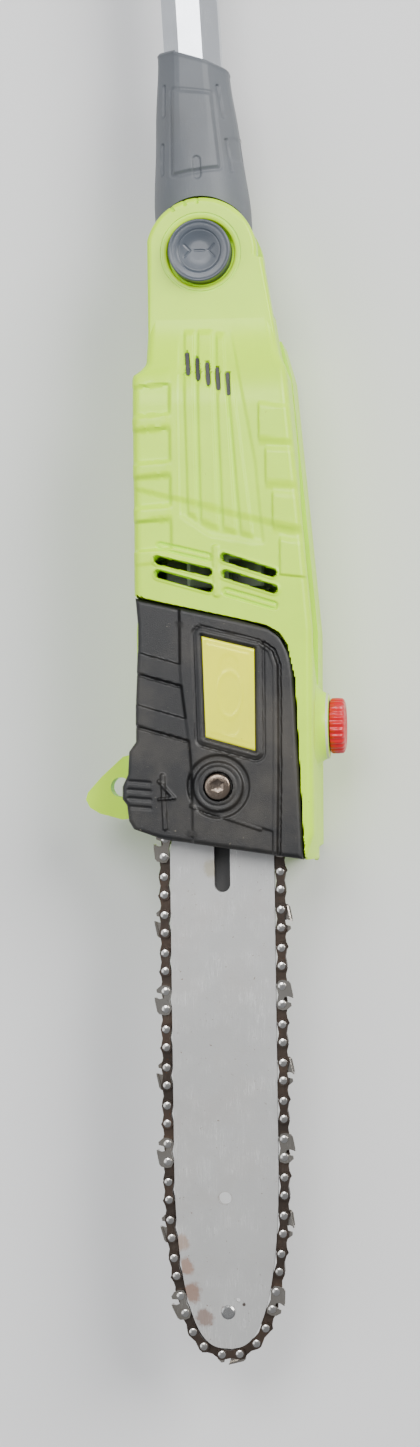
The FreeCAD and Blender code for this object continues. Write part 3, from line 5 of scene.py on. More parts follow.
import bpy
import numpy as np
from mathutils import Matrix, Vector


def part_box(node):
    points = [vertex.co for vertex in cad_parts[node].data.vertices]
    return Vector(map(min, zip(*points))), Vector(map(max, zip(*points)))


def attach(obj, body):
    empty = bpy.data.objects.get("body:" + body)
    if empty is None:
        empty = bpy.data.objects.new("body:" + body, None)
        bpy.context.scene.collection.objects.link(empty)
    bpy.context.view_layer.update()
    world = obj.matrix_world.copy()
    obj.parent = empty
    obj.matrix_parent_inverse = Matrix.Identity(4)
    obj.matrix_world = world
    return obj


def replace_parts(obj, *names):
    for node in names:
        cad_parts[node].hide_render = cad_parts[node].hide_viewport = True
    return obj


bl_info = {
    "name": "Pole saw looks",
    "version": (1, 0, 0),
    "blender": (4, 5, 0),
    "location": "View3D > Sidebar > Pole saw",
    "description": "Builds the visible surfaces and finishes of a telescoping pole saw around its frame",
    "category": "Object",
}

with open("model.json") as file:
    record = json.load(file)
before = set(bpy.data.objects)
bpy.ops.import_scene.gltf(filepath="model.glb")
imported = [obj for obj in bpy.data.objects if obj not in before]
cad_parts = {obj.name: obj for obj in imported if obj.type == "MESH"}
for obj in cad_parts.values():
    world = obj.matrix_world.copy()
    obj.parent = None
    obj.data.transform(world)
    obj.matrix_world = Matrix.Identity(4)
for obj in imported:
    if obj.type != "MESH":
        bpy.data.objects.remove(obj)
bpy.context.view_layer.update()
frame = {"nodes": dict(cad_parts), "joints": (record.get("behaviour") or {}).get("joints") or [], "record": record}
MM = 0.001


def joint(name):
    """One joint of the frame, by its name."""
    return [item for item in frame["joints"] if item["name"] == name][0]


PIVOT = Vector(joint("head_tilt")["pos_m"])
POLE_AXIS = -Vector(joint("telescope")["axis"])
SPINDLE = Vector(joint("sprocket_spin")["pos_m"])
BAR_LOW, BAR_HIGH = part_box("guide_bar")
BAR_X = SPINDLE.x


def head_x(millimetres):
    """A distance from the bar's centre line, in mm, as a place in the frame."""
    return BAR_X + np.asarray(millimetres) * MM


def head_y(millimetres):
    """A distance from the tilt pivot along the head, in mm, as a place in the frame."""
    return PIVOT.y + np.asarray(millimetres) * MM


# ---- meshes from whole arrays --------------------------------------------------------------------


def new_piece(name, points, faces, body, material, smooth=math.radians(35)):
    """A mesh piece from its points and faces: it rides on a body and takes one material."""
    mesh = bpy.data.meshes.new(name)
    mesh.from_pydata(np.asarray(points).reshape(-1, 3).tolist(), [], faces)
    mesh.validate()
    piece = bpy.data.objects.new(name, mesh)
    bpy.context.scene.collection.objects.link(piece)
    mesh.materials.append(material)
    mesh.shade_smooth()
    if smooth:
        mesh.set_sharp_from_angle(angle=smooth)
    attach(piece, body)
    return piece


def grid_faces(rows, columns, ring=False, loop=False, keep=None, turned=False):
    """Quads of a grid of points, row by row.

    Ring joins the last column to the first, loop the last row to the first, and turned flips them."""
    index = np.arange(rows * columns).reshape(rows, columns)
    if ring:
        index = np.hstack([index, index[:, :1]])
    if loop:
        index = np.vstack([index, index[:1]])
    quads = np.stack([index[:-1, :-1], index[:-1, 1:], index[1:, 1:], index[1:, :-1]], -1)
    if turned:
        quads = quads[..., ::-1]
    if keep is not None:
        quads = quads[keep]
    return quads.reshape(-1, 4).tolist()


def shell_wall(piece, millimetres):
    """Give an outer skin its wall, on the inside."""
    wall = piece.modifiers.new("wall", "SOLIDIFY")
    wall.thickness = millimetres * MM
    wall.offset = -1.0


def outline_slab(outline, low, high):
    """Points and faces of a flat plate: an outline (n, 2) padded from one height to another."""
    count = len(outline)
    heights = np.repeat([low, high], count)
    points = np.column_stack([np.tile(outline, (2, 1)), heights])
    here = np.arange(count)
    after = np.roll(here, -1)
    sides = np.stack([here, after, after + count, here + count], -1).tolist()
    return points, sides + [here[::-1].tolist(), (here + count).tolist()]


def joined(parts):
    """Several (points, faces) pairs as one pair."""
    points, faces, start = [], [], 0
    for some, quads in parts:
        points.append(some)
        faces += [[corner + start for corner in quad] for quad in quads]
        start += len(some)
    return np.vstack(points), faces


def smooth_step(value, low, high):
    """0 below low, 1 above high, and a smooth cubic between them."""
    share = np.clip((value - low) / (high - low), 0, 1)
    return share * share * (3 - 2 * share)


def band(value, centre, half, soft):
    """1 within half of a centre, falling smoothly to 0 over a soft edge."""
    return 1 - smooth_step(np.abs(value - centre), half - soft, half + soft)


# ---- shared effects ------------------------------------------------------------------------------


def group(name, inputs, outputs):
    """An empty node group with named float inputs and outputs and a vector input for the place."""
    tree = bpy.data.node_groups.new(name, "ShaderNodeTree")
    tree.interface.new_socket("Place", in_out="INPUT", socket_type="NodeSocketVector")
    for label, value in inputs.items():
        made = tree.interface.new_socket(label, in_out="INPUT", socket_type="NodeSocketFloat")
        made.default_value = value
    for label in outputs:
        tree.interface.new_socket(label, in_out="OUTPUT", socket_type="NodeSocketFloat")
    return tree, tree.nodes.new("NodeGroupInput"), tree.nodes.new("NodeGroupOutput")


def add(tree, kind, links=(), **values):
    """One node with its settings; links are (input, socket) pairs that feed it."""
    made = tree.nodes.new("ShaderNode" + kind)
    for key, value in values.items():
        if hasattr(made, key):
            setattr(made, key, value)
        else:
            made.inputs[key.replace("_", " ")].default_value = value
    for socket, source in links:
        tree.links.new(source, made.inputs[socket])
    return made


def math_node(tree, operation, first, second, clamp=False):
    """A Math node whose two inputs are sockets or plain numbers."""
    made = tree.nodes.new("ShaderNodeMath")
    made.operation = operation
    made.use_clamp = clamp
    for i, value in enumerate((first, second)):
        if isinstance(value, (int, float)):
            made.inputs[i].default_value = value
        else:
            tree.links.new(value, made.inputs[i])
    return made.outputs[0]


def grain_group():
    """Moulded or rolled grain: fine noise with a coarser swell under it, as a height."""
    tree, given, result = group("surface_grain", {"Scale": 1500.0, "Swell": 0.4}, ["Height"])
    fine = add(tree, "TexNoise", [("Vector", given.outputs["Place"]), ("Scale", given.outputs["Scale"])],
               Detail=3.0)
    slow = math_node(tree, "MULTIPLY", given.outputs["Scale"], 0.04)
    coarse = add(tree, "TexNoise", [("Vector", given.outputs["Place"]), ("Scale", slow)], Detail=2.0)
    swell = math_node(tree, "MULTIPLY", coarse.outputs["Fac"], given.outputs["Swell"])
    total = math_node(tree, "ADD", fine.outputs["Fac"], swell)
    tree.links.new(total, result.inputs["Height"])
    return tree


def dirt_group():
    """Dust and grime: small specks and soft patches, as two masks."""
    tree, given, result = group("dust_and_specks", {"Scale": 400.0, "Amount": 0.5}, ["Specks", "Patches"])
    spots = add(tree, "TexNoise", [("Vector", given.outputs["Place"]), ("Scale", given.outputs["Scale"])],
                Detail=4.0, Roughness=0.7)
    edge = math_node(tree, "SUBTRACT", 0.78, math_node(tree, "MULTIPLY", given.outputs["Amount"], 0.22))
    lifted = math_node(tree, "SUBTRACT", spots.outputs["Fac"], edge)
    specks = math_node(tree, "MULTIPLY", lifted, 22.0, True)
    slow = math_node(tree, "MULTIPLY", given.outputs["Scale"], 0.07)
    cloud = add(tree, "TexNoise", [("Vector", given.outputs["Place"]), ("Scale", slow)], Detail=5.0,
                Roughness=0.6)
    soft = math_node(tree, "MULTIPLY", math_node(tree, "SUBTRACT", cloud.outputs["Fac"], 0.46), 3.2, True)
    tree.links.new(specks, result.inputs["Specks"])
    tree.links.new(math_node(tree, "MULTIPLY", soft, given.outputs["Amount"], True),
                   result.inputs["Patches"])
    return tree


def scratch_group():
    """Fine scratches: noise drawn out along two crossing directions, cut to thin lines."""
    tree, given, result = group("fine_scratches", {"Density": 60.0, "Amount": 0.5}, ["Mask"])
    marks = []
    for turn in (0.12, 1.32):
        turned = add(tree, "Mapping", [("Vector", given.outputs["Place"])])
        turned.inputs["Rotation"].default_value = (0, 0, turn)
        turned.inputs["Scale"].default_value = (22.0, 1.0, 10.0)
        lines = add(tree, "TexNoise", [("Vector", turned.outputs[0]), ("Scale", given.outputs["Density"])],
                    Detail=3.0)
        centred = math_node(tree, "ABSOLUTE", math_node(tree, "SUBTRACT", lines.outputs["Fac"], 0.5), 0.0)
        thin = math_node(tree, "SUBTRACT", 1.0, math_node(tree, "MULTIPLY", centred, 55.0), True)
        marks.append(thin)
    both = math_node(tree, "MAXIMUM", marks[0], marks[1])
    broken = add(tree, "TexNoise", [("Vector", given.outputs["Place"])], Scale=90.0, Detail=2.0)
    parts = math_node(tree, "MULTIPLY", math_node(tree, "SUBTRACT", broken.outputs["Fac"], 0.45), 4.0, True)
    mask = math_node(tree, "MULTIPLY", both, parts)
    tree.links.new(math_node(tree, "MULTIPLY", mask, given.outputs["Amount"], True), result.inputs["Mask"])
    return tree


GROUPS = {}


def effect(tree, name, place, **values):
    """A shared effect placed in a material with its own values."""
    makers = {"surface_grain": grain_group, "dust_and_specks": dirt_group, "fine_scratches": scratch_group}
    if name not in GROUPS:
        GROUPS[name] = makers[name]()
    node = tree.nodes.new("ShaderNodeGroup")
    node.node_tree = GROUPS[name]
    tree.links.new(place, node.inputs["Place"])
    for key, value in values.items():
        node.inputs[key].default_value = value
    return node


def linear(colour):
    """An sRGB colour, 0 to 255, as linear light with alpha."""
    share = np.asarray(colour, float) / 255
    low = share / 12.92
    high = ((share + 0.055) / 1.055) ** 2.4
    return (*np.where(share <= 0.04045, low, high).tolist(), 1.0)


def mixed(tree, first, second, mask):
    """A colour mix by a mask; each colour is a socket or an sRGB triple."""
    made = tree.nodes.new("ShaderNodeMix")
    made.data_type = "RGBA"
    for i, value in ((6, first), (7, second)):
        if isinstance(value, tuple):
            made.inputs[i].default_value = linear(value)
        else:
            tree.links.new(value, made.inputs[i])
    tree.links.new(mask, made.inputs[0])
    return made.outputs[2]


def finish(name, colour, tone, rough=(0.35, 0.5), metallic=0.0, grain=(1500.0, 0.12),
           dirt=(400.0, 0.4, (70, 62, 48)),
           scratches=0.0, coat=0.0, sheen=0.0):
    """A surface finish: a base colour that wanders to a second tone, specks, scratches, grain and gloss."""
    material = bpy.data.materials.new(name)
    material.use_nodes = True
    tree = material.node_tree
    shader = tree.nodes["Principled BSDF"]
    place = tree.nodes.new("ShaderNodeTexCoord").outputs["Object"]
    marks = effect(tree, "dust_and_specks", place, Scale=dirt[0], Amount=dirt[1])
    drift = add(tree, "TexNoise", [("Vector", place)], Scale=38.0, Detail=3.0)
    shade = mixed(tree, colour, tone, drift.outputs["Fac"])
    shade = mixed(tree, shade, dirt[2], math_node(tree, "MULTIPLY", marks.outputs["Patches"], 0.45))
    shade = mixed(tree, shade, dirt[2], marks.outputs["Specks"])
    gloss = add(tree, "MapRange", [("Value", marks.outputs["Patches"])])
    gloss.inputs["To Min"].default_value, gloss.inputs["To Max"].default_value = rough
    height = effect(tree, "surface_grain", place, Scale=grain[0]).outputs["Height"]
    if scratches:
        lines = effect(tree, "fine_scratches", place, Amount=scratches).outputs["Mask"]
        lighter = tuple(min(255, int(part * 1.15) + 22) for part in colour)
        shade = mixed(tree, shade, lighter, lines)
        height = math_node(tree, "SUBTRACT", height, lines)
    bump = add(tree, "Bump", [("Height", height)], Strength=grain[1])
    bump.inputs["Distance"].default_value = 0.0004
    tree.links.new(shade, shader.inputs["Base Color"])
    tree.links.new(gloss.outputs[0], shader.inputs["Roughness"])
    tree.links.new(bump.outputs[0], shader.inputs["Normal"])
    shader.inputs["Metallic"].default_value = metallic
    shader.inputs["Coat Weight"].default_value = coat
    shader.inputs["Coat Roughness"].default_value = 0.25
    shader.inputs["Sheen Weight"].default_value = sheen
    return material


# ---- the finishes --------------------------------------------------------------------------------


def make_finishes(tones):
    """Every finish of the tool, by the slot that it belongs to."""
    made = {
        "green_shell": finish("green_plastic", tuple(tones["green"]), (190, 240, 0), (0.36, 0.52),
                              grain=(1400.0, 0.10), dirt=(330.0, 0.3, (120, 128, 40)), scratches=0.08,
                              coat=0.05),
        "black_cover": finish("black_textured_plastic", (9, 9, 10), (17, 17, 18), (0.42, 0.6),
                              grain=(2300.0, 0.34), dirt=(420.0, 0.42, (120, 112, 98)), scratches=0.16),
        "grey_collar": finish("grey_plastic", (96, 100, 105), (82, 86, 91), (0.5, 0.64),
                              grain=(1900.0, 0.16), dirt=(380.0, 0.36, (92, 86, 74)), scratches=0.2),
        "button_grey": finish("button_plastic", (70, 77, 86), (58, 65, 74), (0.3, 0.42),
                              grain=(1700.0, 0.12), dirt=(520.0, 0.4, (70, 66, 60)), scratches=0.2),
        "badge": finish("badge_film", (255, 255, 6), (244, 248, 20), (0.2, 0.36), metallic=0.12,
                        grain=(900.0, 0.06), dirt=(420.0, 0.35, (120, 112, 60)), scratches=0.4, coat=0.3),
        "red_cap": finish("red_plastic", tuple(tones["red"]), (176, 0, 24), (0.28, 0.42),
                          grain=(1300.0, 0.08),
                          dirt=(420.0, 0.3, (96, 40, 34)), scratches=0.15, coat=0.2),
        "bar_steel": bar_finish(),
        "chain_steel": finish("chain_dark_steel", (84, 74, 66), (58, 52, 48), (0.3, 0.55), metallic=0.85,
                              grain=(900.0, 0.2), dirt=(600.0, 0.6, (92, 62, 40)), scratches=0.3),
        "steel": finish("machined_steel", (176, 176, 174), (150, 150, 150), (0.24, 0.42), metallic=0.95,
                        grain=(1200.0, 0.08), dirt=(500.0, 0.4, (110, 84, 60)), scratches=0.4),
        "tube_alu": finish("anodised_tube", (206, 210, 215), (190, 194, 200), (0.28, 0.4), metallic=0.9,
                           grain=(700.0, 0.05), dirt=(300.0, 0.25, (120, 116, 108)), scratches=0.35),
        "cast_alu": finish("cast_aluminium", (168, 170, 172), (140, 142, 146), (0.45, 0.6), metallic=0.85,
                           grain=(900.0, 0.4)),
        "copper": finish("enamelled_copper", (184, 96, 52), (150, 70, 38), (0.28, 0.4), metallic=0.8,
                         grain=(2400.0, 0.5)),
        "lamination": finish("stacked_laminations", (92, 94, 98), (70, 72, 76), (0.4, 0.55), metallic=0.7,
                             grain=(2600.0, 0.5)),
        "carbon": finish("brush_carbon", (44, 44, 46), (30, 30, 32), (0.6, 0.75), grain=(1800.0, 0.4)),
        "fan_plastic": finish("fan_plastic", (168, 178, 160), (150, 160, 142), (0.45, 0.6),
                              grain=(1300.0, 0.1),
                              dirt=(300.0, 0.6, (104, 92, 70))),
        "tank_plastic": finish("tank_plastic", (214, 214, 204), (196, 196, 186), (0.4, 0.5)),
        "black_plastic": finish("black_moulded_plastic", (40, 40, 42), (52, 52, 54), (0.42, 0.58),
                                grain=(1900.0, 0.26), dirt=(420.0, 0.34, (104, 98, 88)), scratches=0.14),
        "foam": finish("closed_cell_foam", (40, 40, 41), (56, 56, 56), (0.82, 0.95), grain=(2100.0, 1.0),
                       dirt=(500.0, 0.4, (92, 86, 78)), sheen=0.25),
        "rubber": finish("soft_rubber", (34, 34, 35), (46, 46, 46), (0.6, 0.75), grain=(1500.0, 0.3)),
    }
    made["worn_screw"] = finish("worn_screw_steel", (134, 126, 116), (92, 70, 54), (0.22, 0.4), metallic=0.9,
                                grain=(1200.0, 0.1), dirt=(620.0, 0.6, (84, 54, 36)), scratches=0.3)
    made["chain_cutters"] = finish("cutter_chrome", (196, 192, 184), (150, 142, 130), (0.16, 0.34),
                                   metallic=1.0,
                                   grain=(900.0, 0.06), dirt=(700.0, 0.55, (110, 78, 50)), scratches=0.4)
    made["chain_rivets"] = finish("rivet_steel", (206, 204, 200), (170, 168, 164), (0.18, 0.32),
                                  metallic=1.0,
                                  grain=(1200.0, 0.06), dirt=(700.0, 0.5, (96, 72, 52)))
    return made


BAR_STAINS = [((-23, -496), 7, (164, 118, 78), 0.5), ((-21, -508), 8, (150, 96, 56), 0.6),
              ((-18, -521), 9, (136, 84, 48), 0.65), ((-12, -534), 8, (120, 74, 44), 0.6),
              ((0, -531), 6, (96, 66, 44), 0.75), ((-4, -309), 9, (150, 138, 90), 0.45),
              ((-1, -474), 6, (120, 98, 70), 0.5), ((8, -527), 1.6, (60, 44, 34), 0.9)]


def bar_finish():
    """Ground bar steel: light grey, scratched along its length, with rust spots and a stain by the nose."""
    material = finish("bar_ground_steel", (196, 196, 194), (182, 182, 180), (0.34, 0.55), metallic=0.55,
                      grain=(1100.0, 0.10), dirt=(520.0, 0.5, (110, 84, 58)), scratches=0.55)
    tree = material.node_tree
    shader = tree.nodes["Principled BSDF"]
    base = shader.inputs["Base Color"].links[0].from_socket
    place = [item for item in tree.nodes if item.type == "TEX_COORD"][0].outputs["Object"]
    ragged = add(tree, "TexNoise", [("Vector", place)], Scale=260.0, Detail=6.0, Roughness=0.7)
    for spot, radius, colour, cover in BAR_STAINS:
        centre = (float(head_x(spot[0])), float(head_y(spot[1])), BAR_HIGH.z)
        away = add(tree, "VectorMath", [(0, place)], operation="DISTANCE")
        away.inputs[1].default_value = centre
        share = math_node(tree, "DIVIDE", away.outputs["Value"], radius * MM)
        near = math_node(tree, "SUBTRACT", 1.0, share, True)
        torn = math_node(tree, "SUBTRACT", ragged.outputs["Fac"], math_node(tree, "SUBTRACT", 0.85, near))
        mask = math_node(tree, "MULTIPLY", math_node(tree, "MULTIPLY", torn, 4.0, True), cover)
        base = mixed(tree, base, colour, mask)
    tree.links.new(base, shader.inputs["Base Color"])
    return material


# ---- head ----------------------------------------------------------------------------------------

REAR = -31.0
# heights in mm: the foot of the housing's walls, the tilt lug's cheek, the cover's pocket and the cover
PARTING_FOOT = 42.2
CHEEK_FOOT, CHEEK_TOP = 57.8, 70.1
POCKET_FLOOR = 58.2
COVER_FOOT, COVER_MOUTH, COVER_FACE = 58.6, 71.0, 82.3
CHEEK_ROUND = 2.6
LEFT_EDGE = [(-30, -33.1), (-56, -33.9), (-60, -37.6), (-62, -40.5), (-66, -40.6), (-172, -40.8),
             (-190, -42.2), (-310, -42.4)]
RIGHT_EDGE = [(-30, 29.2), (-42, 31.2), (-52, 33.2), (-60, 36.8), (-106, 41.0), (-134, 43.6), (-190, 48.2),
              (-292, 47.6),
              (-310, 42.0)]
FRONT_EDGE = [-285.0, -296.0, -304.5]
COVER_EDGE = [(-40.3, -173), (12, -185), (25, -188.2), (31.6, -192.1), (35.4, -198), (38.5, -214),
              (41.3, -284.5),
              (42, -304.5)]


def edge_at(table, place):
    """A line by linear steps between its corner points (place, value), at every place."""
    rows = sorted(table)
    return np.interp(place, [row[0] for row in rows], [row[1] for row in rows])


def slot_mask(x, y, start, end, half, soft=0.35):
    """1 inside a round-ended slot between two points, falling to 0 over a soft edge."""
    (ax, ay), (bx, by) = start, end
    long = math.hypot(bx - ax, by - ay)
    share = np.clip(((x - ax) * (bx - ax) + (y - ay) * (by - ay)) / long ** 2, 0, 1)
    away = np.hypot(x - ax - share * (bx - ax), y - ay - share * (by - ay))
    return 1 - smooth_step(away, half - soft, half + soft)


def taper_line(x, y, points, half):
    """The union of thin slots along a chain of points, for a moulded line."""
    masks = [slot_mask(x, y, a, b, half) for a, b in zip(points, points[1:])]
    return np.max(masks, axis=0)


VENTS = [((-28.2, -154.6), (-3.6, -160.9)), ((-27.8, -161.6), (-3.2, -168.8)),
         ((5.2, -153.9), (28.6, -161.9)), ((5.6, -162.2), (29.0, -170.0))]
VENT_HALF = 2.2
BLIND_SLOTS = [((-27.0, -147.5), (-3.6, -153.5)), ((6.0, -171.0), (29.0, -178.2))]
SLITS = [((-13.0 + 5.1 * i, -51.6 - 2.7 * i), (-12.2 + 5.1 * i, -61.6 - 2.7 * i)) for i in range(5)]
CHANNEL_PADS = [((-14.6, -40.0), (-13.0, -132.0), (-8.6, -134.5), (-9.6, -40.0)),
                ((-7.8, -40.0), (-6.6, -136.0), (2.2, -139.5), (-0.8, -40.0)),
                ((1.4, -42.0), (4.4, -139.5), (11.2, -142.0), (5.4, -42.0)),
                ((7.4, -62.0), (13.2, -142.0), (19.6, -144.0), (10.6, -66.0))]


def top_height(x, y):
    """The housing's upper face, in mm: a flat top with rounded rims and every moulded detail in it.

    The height is the lowest of the rounded falls to the four sides; a fall at a distance d inside an edge is
    radius - sqrt(radius^2 - (radius - d)^2).  Grooves, ribs, ledges and vents are added as soft bands."""
    left, right = edge_at(LEFT_EDGE, y), edge_at(RIGHT_EDGE, y)
    radius = 4.5
    front = np.interp(x, [-42, -30, 44], FRONT_EDGE)
    inside = np.minimum(np.minimum(x - left, right - x), y - front)
    near = np.clip(radius - inside, 0, radius)
    rise = smooth_step(-y, -REAR, 78)
    top = 70.0 + 12.0 * rise - (radius - np.sqrt(np.maximum(radius ** 2 - near ** 2, 0)))
    # slanted step across the middle: the front half stands a little lower
    step_line = -118.5 - 0.27 * (x + 40)
    top -= 0.9 * smooth_step(step_line - y, -0.5, 0.5)
    # a sunk field with raised pads in it, cut apart by long tapered channels
    field = signed_distance(x, y, [(-17.5, -30.0), (-17.0, -132.0), (-2.0, -143.0), (24.5, -147.0),
                                   (21.0, -106.0),
                                   (15.0, -72.0), (9.0, -40.0)])
    top -= 0.8 * smooth_step(field, -0.6, 0.8) * smooth_step(-y, 34, 60)
    for first, second, third, fourth in CHANNEL_PADS:
        pad = signed_distance(x, y, [first, second, third, fourth])
        top += 1.1 * smooth_step(pad, -0.4, 0.9)
    # panels between rib bands wrapped over the -X edge
    panel = (1 - smooth_step(x, -22.5, -20.5)) * smooth_step(-y, 62.5, 64) * (1 - smooth_step(-y, 152, 154))
    bands = np.max([band(y - 0.06 * x, centre, 3.4, 0.9)
                    for centre in (-62.0, -84.0, -107.5, -129.5, -151.0)], axis=0)
    top -= 1.6 * panel * (1 - bands)
    top += 0.5 * bands * (1 - smooth_step(x, -23.5, -21.0))
    # raised blocks down the +X side, each set a little lower than the one before
    for i, centre in enumerate((-84.0, -105.5, -127.0, -150.0)):
        inner = 22.5 + 3.2 * i
        block = band(y + 0.12 * x, centre, 9.0, 0.7) * smooth_step(x, inner, inner + 1.0)
        top += 1.2 * block
    # blind moulded slots beside the vents
    for start, end in BLIND_SLOTS:
        top -= 1.3 * slot_mask(x, y, start, end, 2.0, 0.5)
        top += 0.9 * slot_mask(x, y, start, end, 1.1, 0.5)
    # divider rib between the vents
    top += 0.9 * slot_mask(x, y, (0.6, -149), (0.9, -172), 1.5, 0.6)
    for start, end in SLITS:
        top -= 3.0 * slot_mask(x, y, start, end, 1.0, 0.25)
    for start, end in VENTS:
        top += 0.5 * slot_mask(x, y, start, end, 3.3, 0.5)
        top -= 5.0 * slot_mask(x, y, start, end, VENT_HALF, 0.25)
    # pocket of the sprocket cover
    pocket_y = edge_at(sorted(COVER_EDGE)[:6], x)
    pocket_x = edge_at([(down, across) for across, down in COVER_EDGE[4:]], y)
    pocket = smooth_step(pocket_y + 0.6 - y, 0, 0.6) * smooth_step(pocket_x + 0.6 - x, 0, 0.6)
    return top * (1 - pocket) + POCKET_FLOOR * pocket


def housing_top(material):
    """Upper housing: a grid over the plan whose sides turn down as walls to the parting line.

    Columns run from the left wall's foot over the top to the right wall's foot; the wall columns keep the
    edge's X and fall to the parting height, with a slight draught and a shallow parting groove."""
    across = np.linspace(0, 1, 128)
    along = np.interp(np.linspace(0, 1, 296), [0, 0.27, 0.74, 1], [0, 0.42, 0.58, 1])
    down, share = np.meshgrid(along, across, indexing="ij")
    front = np.interp(share, [0, 0.14, 1], FRONT_EDGE)
    y = REAR + (front - REAR) * down
    # rows lean with the vents halfway along
    lean = 0.24 * smooth_step(down, 0.2, 0.42) * (1 - smooth_step(down, 0.62, 0.95))
    for _ in range(3):
        left, right = edge_at(LEFT_EDGE, y), edge_at(RIGHT_EDGE, y)
        x = left + (right - left) * share
        y = REAR + (front - REAR) * down - lean * (x + 3)
    z = top_height(x, y)
    feet = np.array([PARTING_FOOT, 43.4, 43.8, 55.0, 66.0])
    push = np.array([-0.9, -0.9, 0.0, -0.1, -0.3])
    count = len(feet)
    left_wall = np.repeat(left[:, :1], count, 1) - push
    right_wall = np.repeat(right[:, :1], count, 1) + push
    tall = np.minimum(np.tile(feet, (len(along), 1)), z[:, :1] - 1.0)
    ys = [np.repeat(y[:, edge:edge + 1], count, 1) for edge in (0, across.size - 1)]
    x = np.hstack([left_wall, x, right_wall[:, ::-1]])
    z = np.hstack([tall, z, tall[:, ::-1]])
    y = np.hstack([ys[0], y, ys[1]])
    # rear and front end walls: extra rows that fall to the parting line
    first = (x[:1], y[:1], np.minimum(z[:1], PARTING_FOOT))
    last = (x[-1:], y[-1:], np.minimum(z[-1:], PARTING_FOOT))
    x, y, z = (np.vstack([first[i], (x, y, z)[i], last[i]]) for i in range(3))
    rows, columns = x.shape
    points = np.stack([head_x(x), head_y(y), z * MM], -1)
    open_slot = np.max([slot_mask(x, y, a, b, VENT_HALF, 0.25) for a, b in VENTS], axis=0) > 0.97
    open_face = open_slot[:-1, :-1] & open_slot[1:, 1:] & open_slot[:-1, 1:] & open_slot[1:, :-1]
    faces = grid_faces(rows, columns, keep=~open_face, turned=True)
    piece = new_piece("head_upper_housing", points, faces, "head", material, math.radians(50))
    shell_wall(piece, 2.0)
    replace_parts(piece, "housing_bar_side")
    return piece


def slit_painted_shade(material):
    """Painted shade in the five small slits: dark round-ended slabs a little below the housing's face."""
    slabs = []
    for (ax, ay), (bx, by) in SLITS:
        away = math.atan2(by - ay, bx - ax)
        turn = np.linspace(-np.pi / 2, np.pi / 2, 9) + away
        ends = [(bx + 0.95 * np.cos(turn), by + 0.95 * np.sin(turn)),
                (ax - 0.95 * np.cos(turn), ay - 0.95 * np.sin(turn))]
        outline = np.vstack([np.stack(end, -1) for end in ends])
        points, faces = outline_slab(outline, -1.0, 0.0)
        face = top_height(np.array([bx] * 9 + [ax] * 9), np.array([by] * 9 + [ay] * 9)) + 2.3
        points[:, 2] += np.tile(face, 2)
        slabs.append((points, faces))
    points, faces = joined(slabs)
    placed = np.stack([head_x(points[:, 0]), head_y(points[:, 1]), points[:, 2] * MM], -1)
    return new_piece("slit_shade_slabs", placed, faces, "head", material)


def housing_ear(material):
    """Upper cheek of the tilt lug: a polar grid round the button's hole.

    At each angle the outline's radius is the shorter of the lug's circle and the straight sides; the
    profile runs up the hole, over two rounded rims and down the outer wall to the cheek's under side."""
    turn = np.linspace(0, 2 * np.pi, 241)[:-1]
    dx, dy = np.sin(turn), np.cos(turn)
    pivot_x = (PIVOT.x - BAR_X) / MM
    side_left = np.where(dx < -0.05, (-33.2 - pivot_x) / np.minimum(dx, -0.05), 99)
    slant = np.where(dx > 0.05, (24.4 - pivot_x) / np.maximum(dx + 0.16 * dy, 0.05), 99)
    rear = np.where(dy < -0.05, -47.0 / np.minimum(dy, -0.05), 99)
    circle = np.where(dy > -0.1, 28.0, 99)
    outline = np.minimum(np.minimum(side_left, np.where(slant > 0, slant, 99)), np.minimum(rear, circle))
    outline = np.where((dy <= -0.1) & (outline > 60), 47.0, outline)
    profile = [(17.0, CHEEK_FOOT), (17.0, 60.0), (17.0, 69.2), (17.3, 69.8), (17.9, CHEEK_TOP),
               (19.2, CHEEK_TOP),
               (19.4, 69.6), (20.2, 69.6), (20.4, CHEEK_TOP)]
    face_start = profile[-1][0]
    rings = [(np.full_like(turn, radius), np.full_like(turn, height)) for radius, height in profile]
    for share in np.linspace(0.15, 1, 7):
        rings.append((face_start + (outline - CHEEK_ROUND - face_start) * share,
                      np.full_like(turn, CHEEK_TOP)))
    for angle in np.linspace(15, 90, 6):
        lift = math.sin(math.radians(angle))
        fall = CHEEK_TOP - CHEEK_ROUND * (1 - math.cos(math.radians(angle)))
        rings.append((outline - CHEEK_ROUND * (1 - lift), np.full_like(turn, fall)))
    rings += [(outline, np.full_like(turn, height)) for height in (62.0, CHEEK_FOOT)]
    radius = np.array([row[0] for row in rings])
    height = np.array([row[1] for row in rings])
    # index notches at the rim, at 0, 14 and 29 degrees from the pole
    for mark in (0.0, 14.5, 29.0):
        off = np.degrees(np.arctan2(-dx, dy)) - 3.2 - mark
        depth = 1.3 * band(off, 0, 1.3, 0.6)
        rim = (radius > outline - 3.2) & (height > 60)
        height = np.where(rim, height - depth, height)
    x = pivot_x + radius * dx
    y = radius * dy
    points = np.stack([head_x(x), head_y(y), height * MM], -1)
    faces = grid_faces(len(rings), len(turn), ring=True, loop=True)
    return new_piece("head_upper_cheek", points, faces, "head", material, math.radians(40))


# ---- sprocket cover ------------------------------------------------------------------------------

COVER_RIM = [(-40.3, -173.2), (12, -185.2), (25.0, -188.4), (31.4, -192.2), (35.2, -198), (37.3, -205.2),
             (38.4, -212.9), (39.2, -230.2),
             (41.4, -284.5), (42.1, -304.3), (-28.9, -293.4), (-42.1, -289.3), (-45, -284.3),
             (-45.9, -276.4),
             (-48.1, -273.4), (-48.0, -267), (-45.2, -261.1), (-44.5, -249.7), (-41, -244.9), (-40.7, -224),
             (-39.4, -199.5), (-39.2, -186.6)]
BADGE = [(-7.1, -192.5), (19.4, -199.3), (19.2, -250.6), (-5.8, -243.4)]


